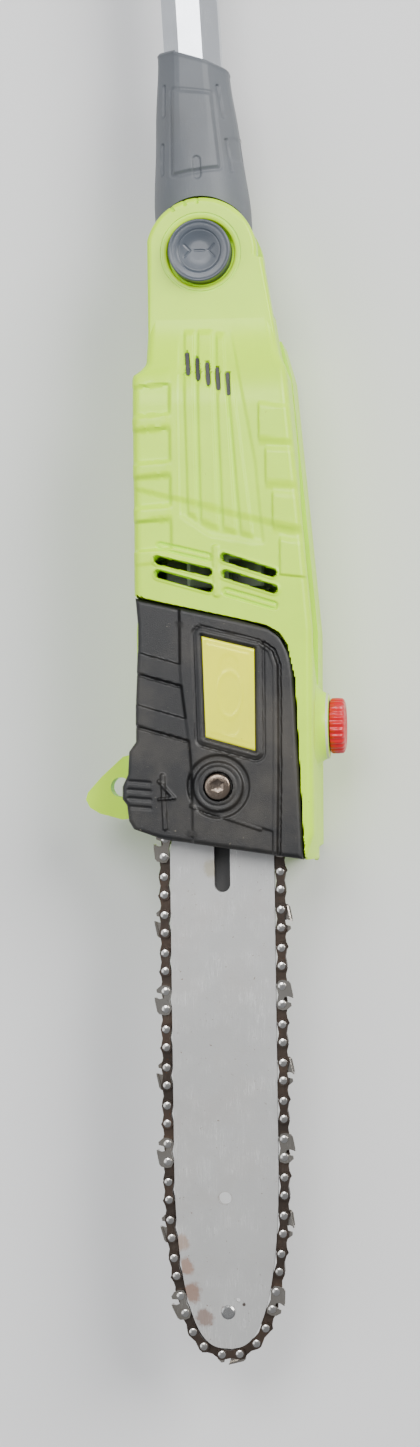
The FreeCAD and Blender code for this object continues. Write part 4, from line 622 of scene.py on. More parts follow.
def signed_distance(x, y, corners):
    """Distance from every point to a polygon's edges, positive inside."""
    nearest = np.full(np.shape(x), 1e9)
    inside = np.zeros(np.shape(x), bool)
    for (ax, ay), (bx, by) in zip(corners, corners[1:] + corners[:1]):
        ex, ey = bx - ax, by - ay
        share = np.clip(((x - ax) * ex + (y - ay) * ey) / (ex * ex + ey * ey), 0, 1)
        nearest = np.minimum(nearest, np.hypot(x - ax - share * ex, y - ay - share * ey))
        crosses = (ay > y) != (by > y)
        where = ax + (y - ay) * ex / np.where(ey == 0, 1e-9, ey)
        inside ^= crosses & (x < where)
    return np.where(inside, nearest, -nearest)


def cover_height(x, y, depth):
    """The cover's face, in mm: rounded rim, lower left part, badge seat, clamp boss and ridges."""
    radius = 2.4
    near = np.clip(radius - depth, 0, radius)
    top = COVER_FACE - (radius - np.sqrt(np.maximum(radius ** 2 - near ** 2, 0)))
    # left third stands lower, with a sloped step up to the face
    step_x = -17.5 + 5.0 * smooth_step(-y, 205, 262)
    low = 1 - smooth_step(x, step_x - 1.6, step_x + 0.6)
    top -= 2.2 * low
    for centre in (-208.2, -234.5):
        rib = band(y + 0.3 * (x + 30), centre, 5.2, 0.5) * low
        top += 1.3 * rib
        top -= 0.7 * band(y + 0.3 * (x + 30), centre - 6.2, 0.6, 0.3) * low
    # badge seat with a raised frame round it
    badge = signed_distance(x, y, BADGE)
    top += 0.55 * band(badge, -1.7, 0.9, 0.35)
    top -= 0.75 * smooth_step(badge, -0.35, 0.15)
    # recessed outline outside the badge, open at the left
    top -= 0.7 * band(badge, -4.4, 0.6, 0.3) * smooth_step(x, -14, -10)
    # long groove near the +X rim and its arc over the top
    groove = [(24.1, -196.8), (29.2, -200.6), (31.6, -208.0), (31.6, -226.0), (31.2, -262.0), (30.2, -301.0)]
    top -= 1.5 * taper_line(x, y, groove, 0.8)
    top += 0.5 * taper_line(x + 2.4, y, groove, 0.9)
    # clamp boss, its moat and the screw's counterbore
    away = np.hypot(x - 0.3, y + 267.6)
    top -= 1.3 * band(away, 14.0, 1.6, 0.7)
    top += 0.5 * smooth_step(12.6 - away, 0, 1.0)
    top -= 0.35 * band(away, 9.6, 0.5, 0.3)
    top -= 3.6 * smooth_step(7.1 - away, -0.25, 0.25)
    # ridges: a triangle and an upright on the left, the slanted step below the boss
    top += 1.2 * taper_line(x, y, [(-29.5, -264.5), (-22.0, -273.0), (-29.5, -273.5)], 0.7)
    top += 1.1 * slot_mask(x, y, (-27.5, -262.0), (-26.5, -288.0), 1.1, 0.5)
    top -= 0.8 * smooth_step(-(y + 276.5 + 0.34 * (x + 13)), -0.5, 0.5) * smooth_step(x, -14, -12.5) * \
        (1 - smooth_step(x, 26.5, 28))
    top += 0.8 * taper_line(x, y, [(-13.5, -277), (21, -289)], 0.8)
    for i in range(4):
        top -= 0.5 * slot_mask(x, y, (-44.5, -264.5 - 4.2 * i), (-34.0, -265.5 - 4.2 * i), 0.8, 0.4)
    return top


def cover_surface(material):
    """Sprocket cover: rows across a grid fitted to the outline, and side walls down to the shelf.

    Each row runs between the outline's left and right crossing at that height of the grid; the slanted top
    and bottom edges come from moving every column's ends to the outline's own upper and lower lines."""
    columns, rows = 190, 250
    across = np.linspace(0, 1, columns)
    along = np.linspace(0, 1, rows)
    left_line = [(y, x) for x, y in COVER_RIM[10:] + COVER_RIM[:1]]
    right_line = [(y, x) for x, y in COVER_RIM[1:10]]
    top_line = COVER_RIM[:5]
    share, down = np.meshgrid(across, along)
    guess_y = -173.2 - 131.0 * down
    for _ in range(6):
        left = edge_at(left_line, guess_y)
        right = edge_at(right_line, guess_y)
        x = left + (right - left) * share
        upper = edge_at(top_line, x)
        lower = np.interp(x, [-42.1, -28.9, 42.1], [-289.3, -293.4, -304.3])
        guess_y = upper + (lower - upper) * down
    y = guess_y
    depth = np.maximum(signed_distance(x, y, COVER_RIM), 0)
    depth[0], depth[-1], depth[:, 0], depth[:, -1] = 0, 0, 0, 0
    z = cover_height(x, y, depth)

    def ringed(values):
        """The grid with its border repeated outside it, for the wall."""
        return np.pad(values, 1, mode="edge")

    x, y, z = ringed(x), ringed(y), ringed(z)
    border = np.zeros_like(z, bool)
    border[0], border[-1], border[:, 0], border[:, -1] = True, True, True, True
    z[border] = COVER_FOOT
    open_end = border & (y < -292) & (np.abs(x) < 36)
    z[open_end] = COVER_MOUTH
    points = np.stack([head_x(x), head_y(y), z * MM], -1)
    piece = new_piece("cover_face", points, grid_faces(*x.shape, turned=True), "head",
                      material, math.radians(45))
    shell_wall(piece, 2.0)
    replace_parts(piece, "sprocket_cover")
    return piece


def badge_surface(material):
    """Plain metallic badge with a softly crowned face and a fine embossed border."""
    share = np.linspace(0, 1, 50)
    u, v = np.meshgrid(share, share)
    corners = np.array(BADGE)
    middle = corners.mean(0)
    corners = middle + (corners - middle) * 0.985
    x, y = ((1 - v) * ((1 - u) * corners[0, i] + u * corners[1, i])
            + v * ((1 - u) * corners[3, i] + u * corners[2, i]) for i in (0, 1))
    rim = np.minimum(np.minimum(u, 1 - u) * 26, np.minimum(v, 1 - v) * 51)
    z = 81.85 + 0.22 * smooth_step(rim, 0, 0.7) - 0.2 * band(rim, 1.9, 0.25, 0.18)
    z -= 0.18 * slot_mask(x, y, (6.4, -207), (6.8, -238), 4.6, 0.4) * 0.6
    z += 0.12 * band(np.hypot(x - 6.6, (y + 222) * 0.55), 6.2, 0.5, 0.3)
    points = np.stack([head_x(x), head_y(y), z * MM], -1)
    piece = new_piece("badge_face", points, grid_faces(50, 50, turned=True), "head", material)
    shell_wall(piece, 0.4)
    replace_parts(piece, "badge_plate")
    return piece


# ---- saw chain -----------------------------------------------------------------------------------

PITCH_OUT = 3.1
LINK_LONG, LINK_SHORT = 10.1, 8.95


def chain_path(count):
    """Points of the chain's rivet line, evenly spaced, from the sprocket down +X, round the nose and back.

    The nose is half a super-ellipse grown along its normal; the rest is two tangents to the sprocket."""
    half, start, deep = 26.2, -455.0, 94.0
    turn = np.linspace(0, np.pi, 400)
    nose = np.stack([half * np.sign(np.cos(turn)) * np.abs(np.cos(turn)) ** (2 / 2.8),
                     start - deep * np.abs(np.sin(turn)) ** (2 / 2.2)], -1)
    along = np.gradient(nose, axis=0)
    along /= np.linalg.norm(along, axis=1, keepdims=True)
    normal = np.stack([-along[:, 1], along[:, 0]], -1)
    nose = nose + normal * PITCH_OUT
    centre, radius = -212.0, 18.4
    across, down = half + PITCH_OUT, -300.5 - centre
    touch = math.atan2(down, across) + math.acos(radius / math.hypot(across, down))
    sweep = np.linspace(np.pi - touch, touch, 60)
    arc = np.stack([radius * np.cos(sweep), centre + radius * np.sin(sweep)], -1)
    loop = np.vstack([[[across, -300.5]], nose, [[-across, -300.5]], arc, [[across, -300.5]]])
    lengths = np.concatenate([[0], np.cumsum(np.linalg.norm(np.diff(loop, axis=0), axis=1))])
    total = lengths[-1]
    stops = np.empty(count)
    stops[0::2] = np.arange(count // 2) * (total / (count // 2))
    stops[1::2] = stops[0::2] + total / (count // 2) * LINK_LONG / (LINK_LONG + LINK_SHORT)
    return np.stack([np.interp(stops, lengths, loop[:, i]) for i in (0, 1)], -1)


def link_outline(gap, radius, waist, steps=7):
    """A figure-eight plate round two rivets: two arcs joined by a slightly drawn-in waist."""
    right = np.linspace(-np.pi / 2, np.pi / 2, steps)
    left = np.linspace(np.pi / 2, 3 * np.pi / 2, steps)
    half = gap / 2
    return np.array([(half + radius * math.cos(a), radius * math.sin(a)) for a in right] + [(0, waist)]
                    + [(-half + radius * math.cos(a), radius * math.sin(a)) for a in left] + [(0, -waist)])


def drive_outline():
    """Drive link: a shouldered body, a low bumper and a hooked tang that runs in the bar's groove."""
    return np.array([(-7.2, -0.6), (-6.6, 1.9), (-4.0, 2.9), (-0.5, 2.0), (2.2, 2.4), (4.6, 3.5), (6.6, 2.2),
                     (7.4, 0.2), (6.6, -2.0), (3.2, -3.2), (1.9, -7.4), (0.3, -8.6), (-1.8, -7.6),
                     (-2.4, -5.2),
                     (-4.2, -3.0), (-6.6, -2.2)])[::-1]


def cutter_outline():
    """Cutter's side plate: heel, gullet and depth gauge, with the cutting corner leading."""
    return np.array([(-7.2, -1.6), (-7.6, 0.6), (-7.0, 3.4), (-5.8, 4.4), (0.2, 5.6), (1.3, 5.0), (0.6, 3.0),
                     (1.0, 1.2), (2.2, 0.9), (3.2, 2.0), (3.9, 4.5), (5.4, 4.7), (7.2, 2.6), (7.6, 0.2),
                     (6.8, -2.2), (4.6, -2.9), (0, -1.9), (-4.6, -2.9)])[::-1]


def top_plate(side):
    """Cutter's top plate: a thin wedge that leans in from the side plate and falls to its heel."""
    along = np.array([-6.4, -2.0, 1.4])
    height = np.array([3.9, 4.8, 5.7])
    near = side * 2.9
    far = side * np.array([-0.6, -1.2, -1.6])
    points = []
    for i in range(3):
        for z, drop in ((near, 0.0), (far[i], 0.25)):
            points.append((along[i], height[i] - drop, z))
            points.append((along[i], height[i] - drop - 0.7, z))
    faces = [[0, 2, 6, 4], [4, 6, 10, 8], [1, 5, 7, 3], [5, 9, 11, 7], [0, 4, 5, 1], [4, 8, 9, 5],
             [2, 3, 7, 6],
             [6, 7, 11, 10], [0, 1, 3, 2], [8, 10, 11, 9]]
    if side < 0:
        faces = [face[::-1] for face in faces]
    return np.array(points), faces


def rivet_head(centre, side):
    """A low dome on a rivet's end: three rings closing on a flat disc."""
    turn = np.linspace(0, 2 * np.pi, 11)[:-1]
    rings = [(2.15, 0.0), (1.95, 0.35), (1.3, 0.6)]
    points = np.vstack([np.stack([centre + r * np.cos(turn), r * np.sin(turn),
                                  np.full(10, side * (2.7 + h))], -1)
                        for r, h in rings])
    faces = grid_faces(3, 10, ring=True) + [list(range(20, 30)), list(range(10))[::-1]]
    if side < 0:
        faces = [face[::-1] for face in faces]
    return points, faces


def along_chain(name, template, starts, ends, material, z_middle):
    """Copies of one link (points along, out, up; faces) laid between pairs of rivets all round the chain."""
    points, faces = template
    middle = (starts + ends) / 2
    heading = ends - starts
    heading /= np.linalg.norm(heading, axis=1, keepdims=True)
    outward = np.stack([-heading[:, 1], heading[:, 0]], -1)
    flat = middle[:, None] + points[None, :, :1] * heading[:, None] + points[None, :, 1:2] * outward[:, None]
    up = np.broadcast_to(points[None, :, 2:3], (len(middle), len(points), 1))
    x, y = head_x(flat[..., 0]), head_y(flat[..., 1])
    placed = np.stack([x, y, z_middle + up[..., 0] * MM], -1)
    quads = [[corner + i * len(points) for corner in face] for i in range(len(middle)) for face in faces]
    return new_piece(name, placed, quads, "head", material, math.radians(30))


def saw_chain(finishes):
    """The whole chain as separate links: drive links, paired straps, left and right cutters and rivets."""
    rivets = chain_path(80)
    after = np.roll(rivets, -1, axis=0)
    z_middle = (BAR_LOW.z + BAR_HIGH.z) / 2
    drive = (rivets[0::2], after[0::2])
    ties = (rivets[1::2], after[1::2])
    # every fourth tie is a cutter on one side, and the one halfway between is a cutter on the other
    hand = np.arange(40)
    pieces = [along_chain("chain_drive_links", outline_slab(drive_outline(), -0.62, 0.62), *drive,
                          finishes["chain_steel"], z_middle)]
    strap = link_outline(LINK_SHORT, 2.75, 1.9)
    for side, label in ((1, "upper"), (-1, "lower")):
        is_cutter = (hand + 1) % 4 == (0 if side > 0 else 2)
        low, high = sorted((side * 1.1, side * 2.7))
        plain = outline_slab(strap, low, high)
        pieces.append(along_chain(f"chain_straps_{label}", plain, ties[0][~is_cutter], ties[1][~is_cutter],
                                  finishes["chain_steel"], z_middle))
        cutter = joined([outline_slab(cutter_outline(), low, high), top_plate(side)])
        pieces.append(along_chain(f"chain_cutters_{label}", cutter, ties[0][is_cutter], ties[1][is_cutter],
                                  finishes["chain_cutters"], z_middle))
    half = LINK_SHORT / 2
    heads = joined([rivet_head(centre, side) for centre in (-half, half) for side in (-1, 1)])
    pieces.append(along_chain("chain_rivets", heads, *ties, finishes["chain_rivets"], z_middle))
    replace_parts(pieces[0], "saw_chain")
    return pieces


# ---- oil cap, button and collar ------------------------------------------------------------------


def revolved(profile, centre, axis, count, ripple=None):
    """Rings of points about an axis: profile rows are (distance along, radius, ripple share), in mm.

    The ripple function of the angle is scaled by each row's share and added to its radius."""
    turn = np.linspace(0, 2 * np.pi, count + 1)[:-1]
    rows = np.asarray(profile, float)
    wave = ripple(turn) if ripple else np.zeros(count)
    radius = rows[:, 1:2] + rows[:, 2:3] * wave[None]
    along = Vector(axis).normalized()
    first = along.orthogonal().normalized()
    second = along.cross(first)
    ring = np.cos(turn)[:, None] * np.array(first) + np.sin(turn)[:, None] * np.array(second)
    points = np.array(centre) + rows[:, :1, None] * MM * np.array(along) + radius[..., None] * MM * ring
    return points


def ring_faces(rows, count):
    """Quads of a revolved piece with its first and last ring closed by a disc."""
    base = (rows - 1) * count
    ends = [list(range(count))[::-1], list(range(base, base + count))]
    return grid_faces(rows, count, ring=True) + ends


def oil_cap(material):
    """Ribbed oil cap: a knurled rim, a rounded shoulder and a dished face with a raised grip bar."""
    low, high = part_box("oil_cap")
    centre = (low.x, (low.y + high.y) / 2, (low.z + high.z) / 2)
    long = (high.x - low.x) / MM
    rows = [(0.4, 8.4, 0), (9.2, 8.4, 0), (9.6, 13.4, 0.2), (10.4, 13.7, 1), (13.0, 13.75, 1),
            (15.6, 13.6, 1),
            (16.4, 13.0, 0.6), (long - 0.25, 12.0, 0.1), (long - 0.02, 11.2, 0), (long - 0.3, 10.2, 0),
            (long - 1.2, 9.2, 0), (long - 1.4, 7.0, 0), (long - 1.4, 2.0, 0)]

    def ribs(turn):
        """Twenty-six rounded ribs."""
        return 0.34 * np.sign(np.cos(26 * turn)) * np.abs(np.cos(26 * turn)) ** 0.6

    points = revolved(rows, centre, (1, 0, 0), 208, ribs)
    piece = new_piece("oil_cap_face", points, ring_faces(len(rows), 208), "cap", material)
    bar_u = np.linspace(-1, 1, 24)
    bar_v = np.linspace(-1, 1, 12)
    u, v = np.meshgrid(bar_u, bar_v, indexing="ij")
    lift = (1 - u ** 6).clip(0) ** 0.5 * (1 - v ** 4).clip(0) ** 0.5
    bar = np.stack([high.x - 1.5 * MM + 1.45 * MM * lift, centre[1] + u * 8.4 * MM,
                    centre[2] + v * 2.1 * MM], -1)
    index = np.arange(24 * 12).reshape(24, 12)
    border = [*index[0, :-1], *index[:-1, -1], *index[-1, :0:-1], *index[:0:-1, 0]]
    faces = grid_faces(24, 12, turned=True) + [[int(corner) for corner in border]]
    grip = new_piece("oil_cap_grip_bar", bar, faces, "cap", material)
    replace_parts(piece, "oil_cap")
    return [piece, grip]


def push_button(material):
    """Dished button with a raised rim and an engraved press mark: a ring with two inward chevrons."""
    low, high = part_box("push_button")
    centre = ((low.x + high.x) / 2, (low.y + high.y) / 2)
    turn = np.linspace(0, 2 * np.pi, 217)[:-1]
    radius = np.concatenate([np.linspace(0.25, 13.6, 60), [14.0, 14.5, 15.0, 15.4, 15.62, 15.7, 15.7]])
    lip = np.concatenate([np.zeros(60), [0.05, 0.35, 0.4, 0.3, 0.05, -0.5, -11.3]])
    r, a = np.meshgrid(radius, turn, indexing="ij")
    x, y = r * np.cos(a), r * np.sin(a)
    z = 77.6 + np.repeat(lip[:, None], len(turn), 1)
    z -= 1.5 * smooth_step(13.8 - r, 0, 9.5) * (r < 13.8)
    z -= 0.28 * band(r, 10.6, 0.32, 0.16)
    for side in (-1, 1):
        z -= 0.3 * taper_line(x * side, y, [(7.4, 3.0), (4.6, 0), (7.4, -3.0)], 0.42)
    z -= 0.3 * slot_mask(x, y, (-2.2, 0), (2.2, 0), 0.5, 0.2)
    points = np.stack([centre[0] + x * MM, centre[1] + y * MM, z * MM], -1)
    faces = grid_faces(len(radius), len(turn), ring=True, turned=True)
    foot = (len(radius) - 1) * len(turn)
    faces += [list(range(len(turn))), list(range(foot, foot + len(turn)))[::-1]]
    piece = new_piece("push_button_face", points, faces, "button", material)
    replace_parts(piece, "push_button")
    return piece


def pole_point(across, along, up):
    """Places in the frame from the pole's own axes, in mm: across, along from the pivot, and up."""
    side = np.array([POLE_AXIS.y, -POLE_AXIS.x, 0])
    forward = np.array(POLE_AXIS)
    start = np.array([PIVOT.x, PIVOT.y, 0])
    return (start + np.asarray(across)[..., None] * MM * side + np.asarray(along)[..., None] * MM * forward
            + np.asarray(up)[..., None] * MM * np.array([0, 0, 1]))


def octagon_cosine(turn):
    """The cosine to the nearest of an octagon's eight flats, at every angle."""
    return np.maximum.reduce([np.abs(np.cos(turn - k * np.pi / 4)) for k in range(4)])


def collar_surface(material):
    """Knuckle collar: rings about the pole from the lug to the oblique mouth.

    The radius is an octagon softened to a circle towards the lug; a raised panel, two slits, a pointer mark
    and a parting groove are bands of the angle and the distance along the pole."""
    turn = np.linspace(0, 2 * np.pi, 361)[:-1]
    share = np.linspace(0, 1, 150)
    t, a = np.meshgrid(share, turn, indexing="ij")
    across_unit, up_unit = np.sin(a), np.cos(a)
    body = 24.6 - 3.0 * smooth_step(t, 0.1, 0.55) - 3.8 * smooth_step(t, 0.45, 1.0)
    octagon = 1 / octagon_cosine(a)
    soft = 1 + (np.clip(octagon, 1, 1.05) - 1) * 0.8 * smooth_step(t, 0.25, 0.8)
    radius = body * soft
    x = radius * across_unit
    # the low end follows the lug's circle on the top and bottom, and dips beside it
    arch = np.sqrt(np.maximum(29.2 ** 2 - x ** 2, 12.0 ** 2))
    dip = np.where(x > 0, 1.0, 0.35) * 3.5 * smooth_step(np.abs(x), 19, 24)
    low = np.maximum(arch - dip, 14.0)
    mouth = np.where(x < -8, 105.5 - 0.09 * (x + 8), 104.8 - 0.36 * (x + 8))
    along = low + (mouth - low) * t
    # the panel on the top face, its rim, the slits beside it and the pointer at the lug
    top_face = up_unit > 0
    panel = signed_distance(x, along, [(-11.5, 42.0), (-9.6, 84.0), (8.6, 81.0), (11.0, 44.0)])
    step = 0.9 * smooth_step(panel, -0.5, 0.5) - 0.5 * band(panel, -1.6, 0.7, 0.4)
    slits = np.max([slot_mask(x, along, p, q, 0.8, 0.3) for p, q in
                    (((-14.6, 88.0), (-15.4, 73.0)), ((12.6, 86.0), (14.6, 70.0)),
                     ((-17.0, 58.0), (-17.8, 43.0)), ((15.6, 58.0), (17.4, 42.0)))], axis=0)
    pointer = slot_mask(x, along, (0.4, 47.5), (0.4, 40.0), 2.0, 0.4)
    facet = slot_mask(x, along, (19.0, 57.0), (19.8, 50.0), 2.6, 1.2)
    shape = np.where(top_face, step - 1.0 * slits - 0.9 * pointer - 0.5 * facet, 0.0)
    shape -= 0.7 * band(np.abs(a - np.pi / 2), 0, 0.02, 0.012) + 0.7 * band(np.abs(a - 1.5 * np.pi), 0, 0.02,
                                                                            0.012)
    lip = smooth_step(t, 0.965, 0.99)
    radius = radius + shape - 0.9 * smooth_step(t, 0.985, 1.0) + 0.35 * lip
    points = pole_point(radius * across_unit, along, PIVOT.z / MM + radius * up_unit)
    # the mouth turns in to the tube, and the low end turns in to the tongue
    bore = 15.0 / octagon_cosine(turn)
    inner = pole_point(bore * np.sin(turn), along[-1] - 1.2, PIVOT.z / MM + bore * np.cos(turn))
    deep = inner - np.array(POLE_AXIS) * 9 * MM
    foot = pole_point(0.62 * radius[0] * np.sin(turn), low[0] + 0.6,
                      PIVOT.z / MM + 0.62 * radius[0] * np.cos(turn))
    points = np.concatenate([foot[None], points, inner[None], deep[None]])
    faces = grid_faces(len(points), len(turn), ring=True, loop=True)
    piece = new_piece("collar_face", points, faces, "pole", material, math.radians(45))
    return piece


def cap_neck(material):
    """Green filler neck behind the oil cap: a stepped ring with a rounded shoulder."""
    low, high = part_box("oil_cap")
    centre = (low.x, (low.y + high.y) / 2, (low.z + high.z) / 2)
    start = float(head_x(43.5)) - low.x
    rows = [(0.0, 31.0, 0), (2.0, 26.0, 0), (3.4, 22.6, 0), (5.0, 19.9, 0), (6.8, 18.0, 0), (8.6, 16.8, 0),
            (10.0, 16.2, 0), (10.5, 15.6, 0), (10.5, 13.4, 0), (9.0, 13.0, 0), (9.0, 9.0, 0)]
    rows = [(along + start / MM, radius, share) for along, radius, share in rows]
    points = revolved(rows, centre, (1, 0, 0), 96)
    return new_piece("filler_neck_ring", points, ring_faces(len(rows), 96), "head", material)


def cover_screw_head(material):
    """Socket screw in the cover's boss: a chamfered head with a six-sided socket in it."""
    low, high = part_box("cover_screw")
    centre = ((low.x + high.x) / 2, (low.y + high.y) / 2, high.z)
    count = 96
    turn = np.linspace(0, 2 * np.pi, count + 1)[:-1]
    six = 3.05 / np.cos((turn + np.pi / 6) % (np.pi / 3) - np.pi / 6)
    rows = [(-3.4, six * 0.02), (-3.4, six * 0.9), (-3.2, six), (-0.3, six), (0.0, six + 0.35), (0.0, 5.5),
            (-0.2, 6.1), (-0.6, 6.4), (-3.6, 6.4)]
    drop = np.array([row[0] for row in rows])[:, None] + 0 * turn
    radius = np.array([row[1] + 0 * turn for row in rows])
    points = np.stack([centre[0] + radius * np.cos(turn) * MM, centre[1] + radius * np.sin(turn) * MM,
                       centre[2] + drop * MM], -1)
    faces = grid_faces(len(rows), count, ring=True, turned=True) + [list(range(count))]
    faces.append(list(range((len(rows) - 1) * count, len(rows) * count))[::-1])
    return new_piece("cover_screw_face", points, faces, "head", material)


# ---- pole and handle -----------------------------------------------------------------------------


def foam_sleeve(material):
    """Foam hand grip: a tube with rolled ends, a slow swell along it and a seam that pulls in."""
    low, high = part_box("foam_grip")
    middle = (low + high) / 2
    along_low, along_high = ((corner - PIVOT).dot(POLE_AXIS) / MM for corner in (low, high))
    first, last = sorted((along_low, along_high))
    mid = (first + last) / 2
    half = (last - first) / 2 - 0.6
    radius = (high.z - low.z) / 2 / MM - 0.35
    turn = np.linspace(0, 2 * np.pi, 181)[:-1]
    share = np.concatenate([[-1.0], -1 + 0.028 * (1 - np.cos(np.linspace(0, np.pi / 2, 7)[1:])),
                            np.linspace(-0.965, 0.965, 130),
                            1 - 0.028 * (1 - np.cos(np.linspace(np.pi / 2, 0, 7)[:-1])), [1.0]])
    t, a = np.meshgrid(share, turn, indexing="ij")
    roll = np.sqrt(np.clip(1 - ((np.abs(t) - 0.972).clip(0) / 0.028) ** 2, 0, 1))
    swell = 0.22 * np.sin(7 * t + 1.0) * np.cos(2 * a) + 0.12 * np.sin(19 * t + 3 * a)
    seam = 0.5 * band(a, np.pi * 1.5, 0.035, 0.03)
    r = radius - 4.2 * (1 - roll) + (swell - seam) * roll
    centre_up = middle.z / MM
    points = pole_point(r * np.sin(a), mid + t * half, centre_up + r * np.cos(a))
    inner = pole_point(15.5 * np.sin(turn), np.full_like(turn, mid - half), centre_up + 15.5 * np.cos(turn))
    outer = pole_point(15.5 * np.sin(turn), np.full_like(turn, mid + half), centre_up + 15.5 * np.cos(turn))
    points = np.concatenate([inner[None], points, outer[None]])
    faces = grid_faces(len(points), len(turn), ring=True, loop=True)
    piece = new_piece("foam_sleeve", points, faces, "base", material, 0)
    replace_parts(piece, "foam_grip")
    return piece


# ---- stage ---------------------------------------------------------------------------------------


def soft_light(name, place, aim, size, power, tint):
    """A square area light at a place, turned to its aim."""
    lamp = bpy.data.lights.new(name, "AREA")
    lamp.size = size
    lamp.energy = power
    lamp.color = tint
    holder = bpy.data.objects.new(name, lamp)
    heading = (Vector(aim) - Vector(place)).to_track_quat("-Z", "Y")
    holder.matrix_world = Matrix.Translation(place) @ heading.to_matrix().to_4x4()
    bpy.context.scene.collection.objects.link(holder)
    return holder


def painted_bar_slot_shade(material):
    """Dark pad under the bar's adjusting slot, painted shade with chain oil in the slot: a thin slab just below
    the bar.
    """
    outline = np.array([(-7.0, -298.0), (7.0, -298.0), (7.0, -326.0), (-7.0, -326.0)])
    points, faces = outline_slab(outline, -0.6, -0.1)
    placed = np.stack([head_x(points[:, 0]), head_y(points[:, 1]), BAR_LOW.z + points[:, 2] * MM], -1)
    faces = [face[::-1] for face in faces]
    return new_piece("bar_slot_shade_and_oil_pad", placed, faces, "head", material)


def build_stage(sizes):
    """Pale floor, pale surround, three soft lights and the camera above the head."""
    floor_mesh = bpy.data.meshes.new("floor")
    reach = sizes.floor_reach
    floor_mesh.from_pydata([(-reach, -reach, -0.0005), (reach, -reach, -0.0005), (reach, reach, -0.0005),
                            (-reach, reach, -0.0005)], [], [(0, 1, 2, 3)])
    floor = bpy.data.objects.new("floor", floor_mesh)
    bpy.context.scene.collection.objects.link(floor)
    paper = bpy.data.materials.new("floor_paper")
    paper.use_nodes = True
    shader = paper.node_tree.nodes["Principled BSDF"]
    shader.inputs["Base Color"].default_value = (*sizes.floor_tone, 1.0)
    shader.inputs["Roughness"].default_value = 0.9
    floor_mesh.materials.append(paper)
    world = bpy.data.worlds.new("pale_surround")
    world.use_nodes = True
    world.node_tree.nodes["Background"].inputs["Color"].default_value = (0.93, 0.95, 1.0, 1.0)
    world.node_tree.nodes["Background"].inputs["Strength"].default_value = sizes.surround
    bpy.context.scene.world = world
    aim = (BAR_X, float(head_y(-240)), 0.06)
    lights = [soft_light("key_light", (BAR_X + 2.3, aim[1] + 1.5, 2.5), aim, 1.9, sizes.key_power,
                         (1.0, 0.99, 0.97)),
              soft_light("fill_light", (BAR_X - 2.4, aim[1] + 0.2, 2.6), aim, 2.6, sizes.key_power * 0.25,
                         (0.95, 0.97, 1)),
              soft_light("top_light", (BAR_X - 0.3, float(head_y(900)), 2.6), (BAR_X, float(head_y(200)), 0),
                         1.2,
                         sizes.key_power * 0.3, (1, 1, 1))]
    camera_data = bpy.data.cameras.new("camera")
    camera_data.sensor_fit = "VERTICAL"
    camera_data.sensor_height = 36
    camera_data.lens = sizes.lens
    camera = bpy.data.objects.new("camera", camera_data)
    place = Vector((float(head_x(149.4)), float(head_y(-256.4)), 1.612))
    target = Vector((float(head_x(-5.3)), float(head_y(-236.0)), 0.062))
    back = (place - target).normalized()
    up = Vector((math.sin(math.radians(0.8)), math.cos(math.radians(0.8)), 0))
    right = up.cross(back).normalized()
    turned = Matrix((right, back.cross(right), back)).transposed().to_4x4()
    camera.matrix_world = Matrix.Translation(place) @ turned
    bpy.context.scene.collection.objects.link(camera)
    bpy.context.scene.camera = camera


# ---- add-on --------------------------------------------------------------------------------------

FINISHES = {}


def finished(name):
    """A finish by its slot; the finishes are made before any piece that wears them."""
    if name not in FINISHES:
        raise RuntimeError(f"no finish named {name}: run the finishes first")
    return FINISHES[name]


class PoleSawColours(bpy.types.PropertyGroup):
    """Colours that a maker would change."""
    green: bpy.props.FloatVectorProperty(name="Housing green",
                                         description="Colour of the head's moulded housing",
                                         subtype="COLOR_GAMMA", size=3, min=0, max=1,
                                         default=(0.80, 0.99, 0.0))
    red: bpy.props.FloatVectorProperty(name="Oil cap red", description="Colour of the ribbed oil cap",
                                       subtype="COLOR_GAMMA", size=3, min=0, max=1,
                                       default=(0.80, 0.0, 0.09))


class PoleSawSizes(bpy.types.PropertyGroup):
    """Sizes of the stage."""
    floor_reach: bpy.props.FloatProperty(name="Floor reach", description="Half of the floor's side",
                                         default=6.0,
                                         min=1.0, unit="LENGTH")
    floor_tone: bpy.props.FloatVectorProperty(name="Floor tone", description="Colour of the floor",
                                              subtype="COLOR",
                                              size=3, min=0, max=1, default=(0.72, 0.72, 0.72))
    surround: bpy.props.FloatProperty(name="Surround", description="Strength of the light from all round",
                                      default=0.4, min=0.0)
    key_power: bpy.props.FloatProperty(name="Key light", description="Power of the main soft light",
                                       default=165.0,
                                       min=0.0, unit="POWER")
    lens: bpy.props.FloatProperty(name="Lens", description="Focal length of the camera, in mm", default=77.1,
                                  min=20.0)


class POLESAW_OT_finishes(bpy.types.Operator):
    """Make every finish and put it on the frame's own nodes"""
    bl_idname = "polesaw.finishes"
    bl_label = "Finishes"

    def execute(self, context):
        colours = context.scene.pole_saw_colours
        tones = {"green": [part * 255 for part in colours.green],
                 "red": [part * 255 for part in colours.red]}
        FINISHES.update(make_finishes(tones))
        for part in frame["record"]["subparts"]:
            node = frame["nodes"][part["node"]]
            node.data.materials.clear()
            node.data.materials.append(finished(part["material_slot"]))
        return {"FINISHED"}


class POLESAW_OT_head_shell(bpy.types.Operator):
    """Build the head's upper housing, its tilt lug and the filler neck"""
    bl_idname = "polesaw.head_shell"
    bl_label = "Head shell"

    def execute(self, context):
        housing_top(finished("green_shell"))
        housing_ear(finished("green_shell"))
        # dark slabs that paint the shade inside the five slits
        slit_painted_shade(finished("black_plastic"))
        cap_neck(finished("green_shell"))
        return {"FINISHED"}


class POLESAW_OT_sprocket_cover(bpy.types.Operator):
    """Build the sprocket cover, its badge and its screw"""
    bl_idname = "polesaw.sprocket_cover"
    bl_label = "Sprocket cover"

    def execute(self, context):
        cover_surface(finished("black_cover"))
        badge_surface(finished("badge"))
        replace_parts(cover_screw_head(finished("worn_screw")), "cover_screw")
        # dark pad under the bar's slot: painted shade, with chain oil
        painted_bar_slot_shade(finished("rubber"))
        return {"FINISHED"}


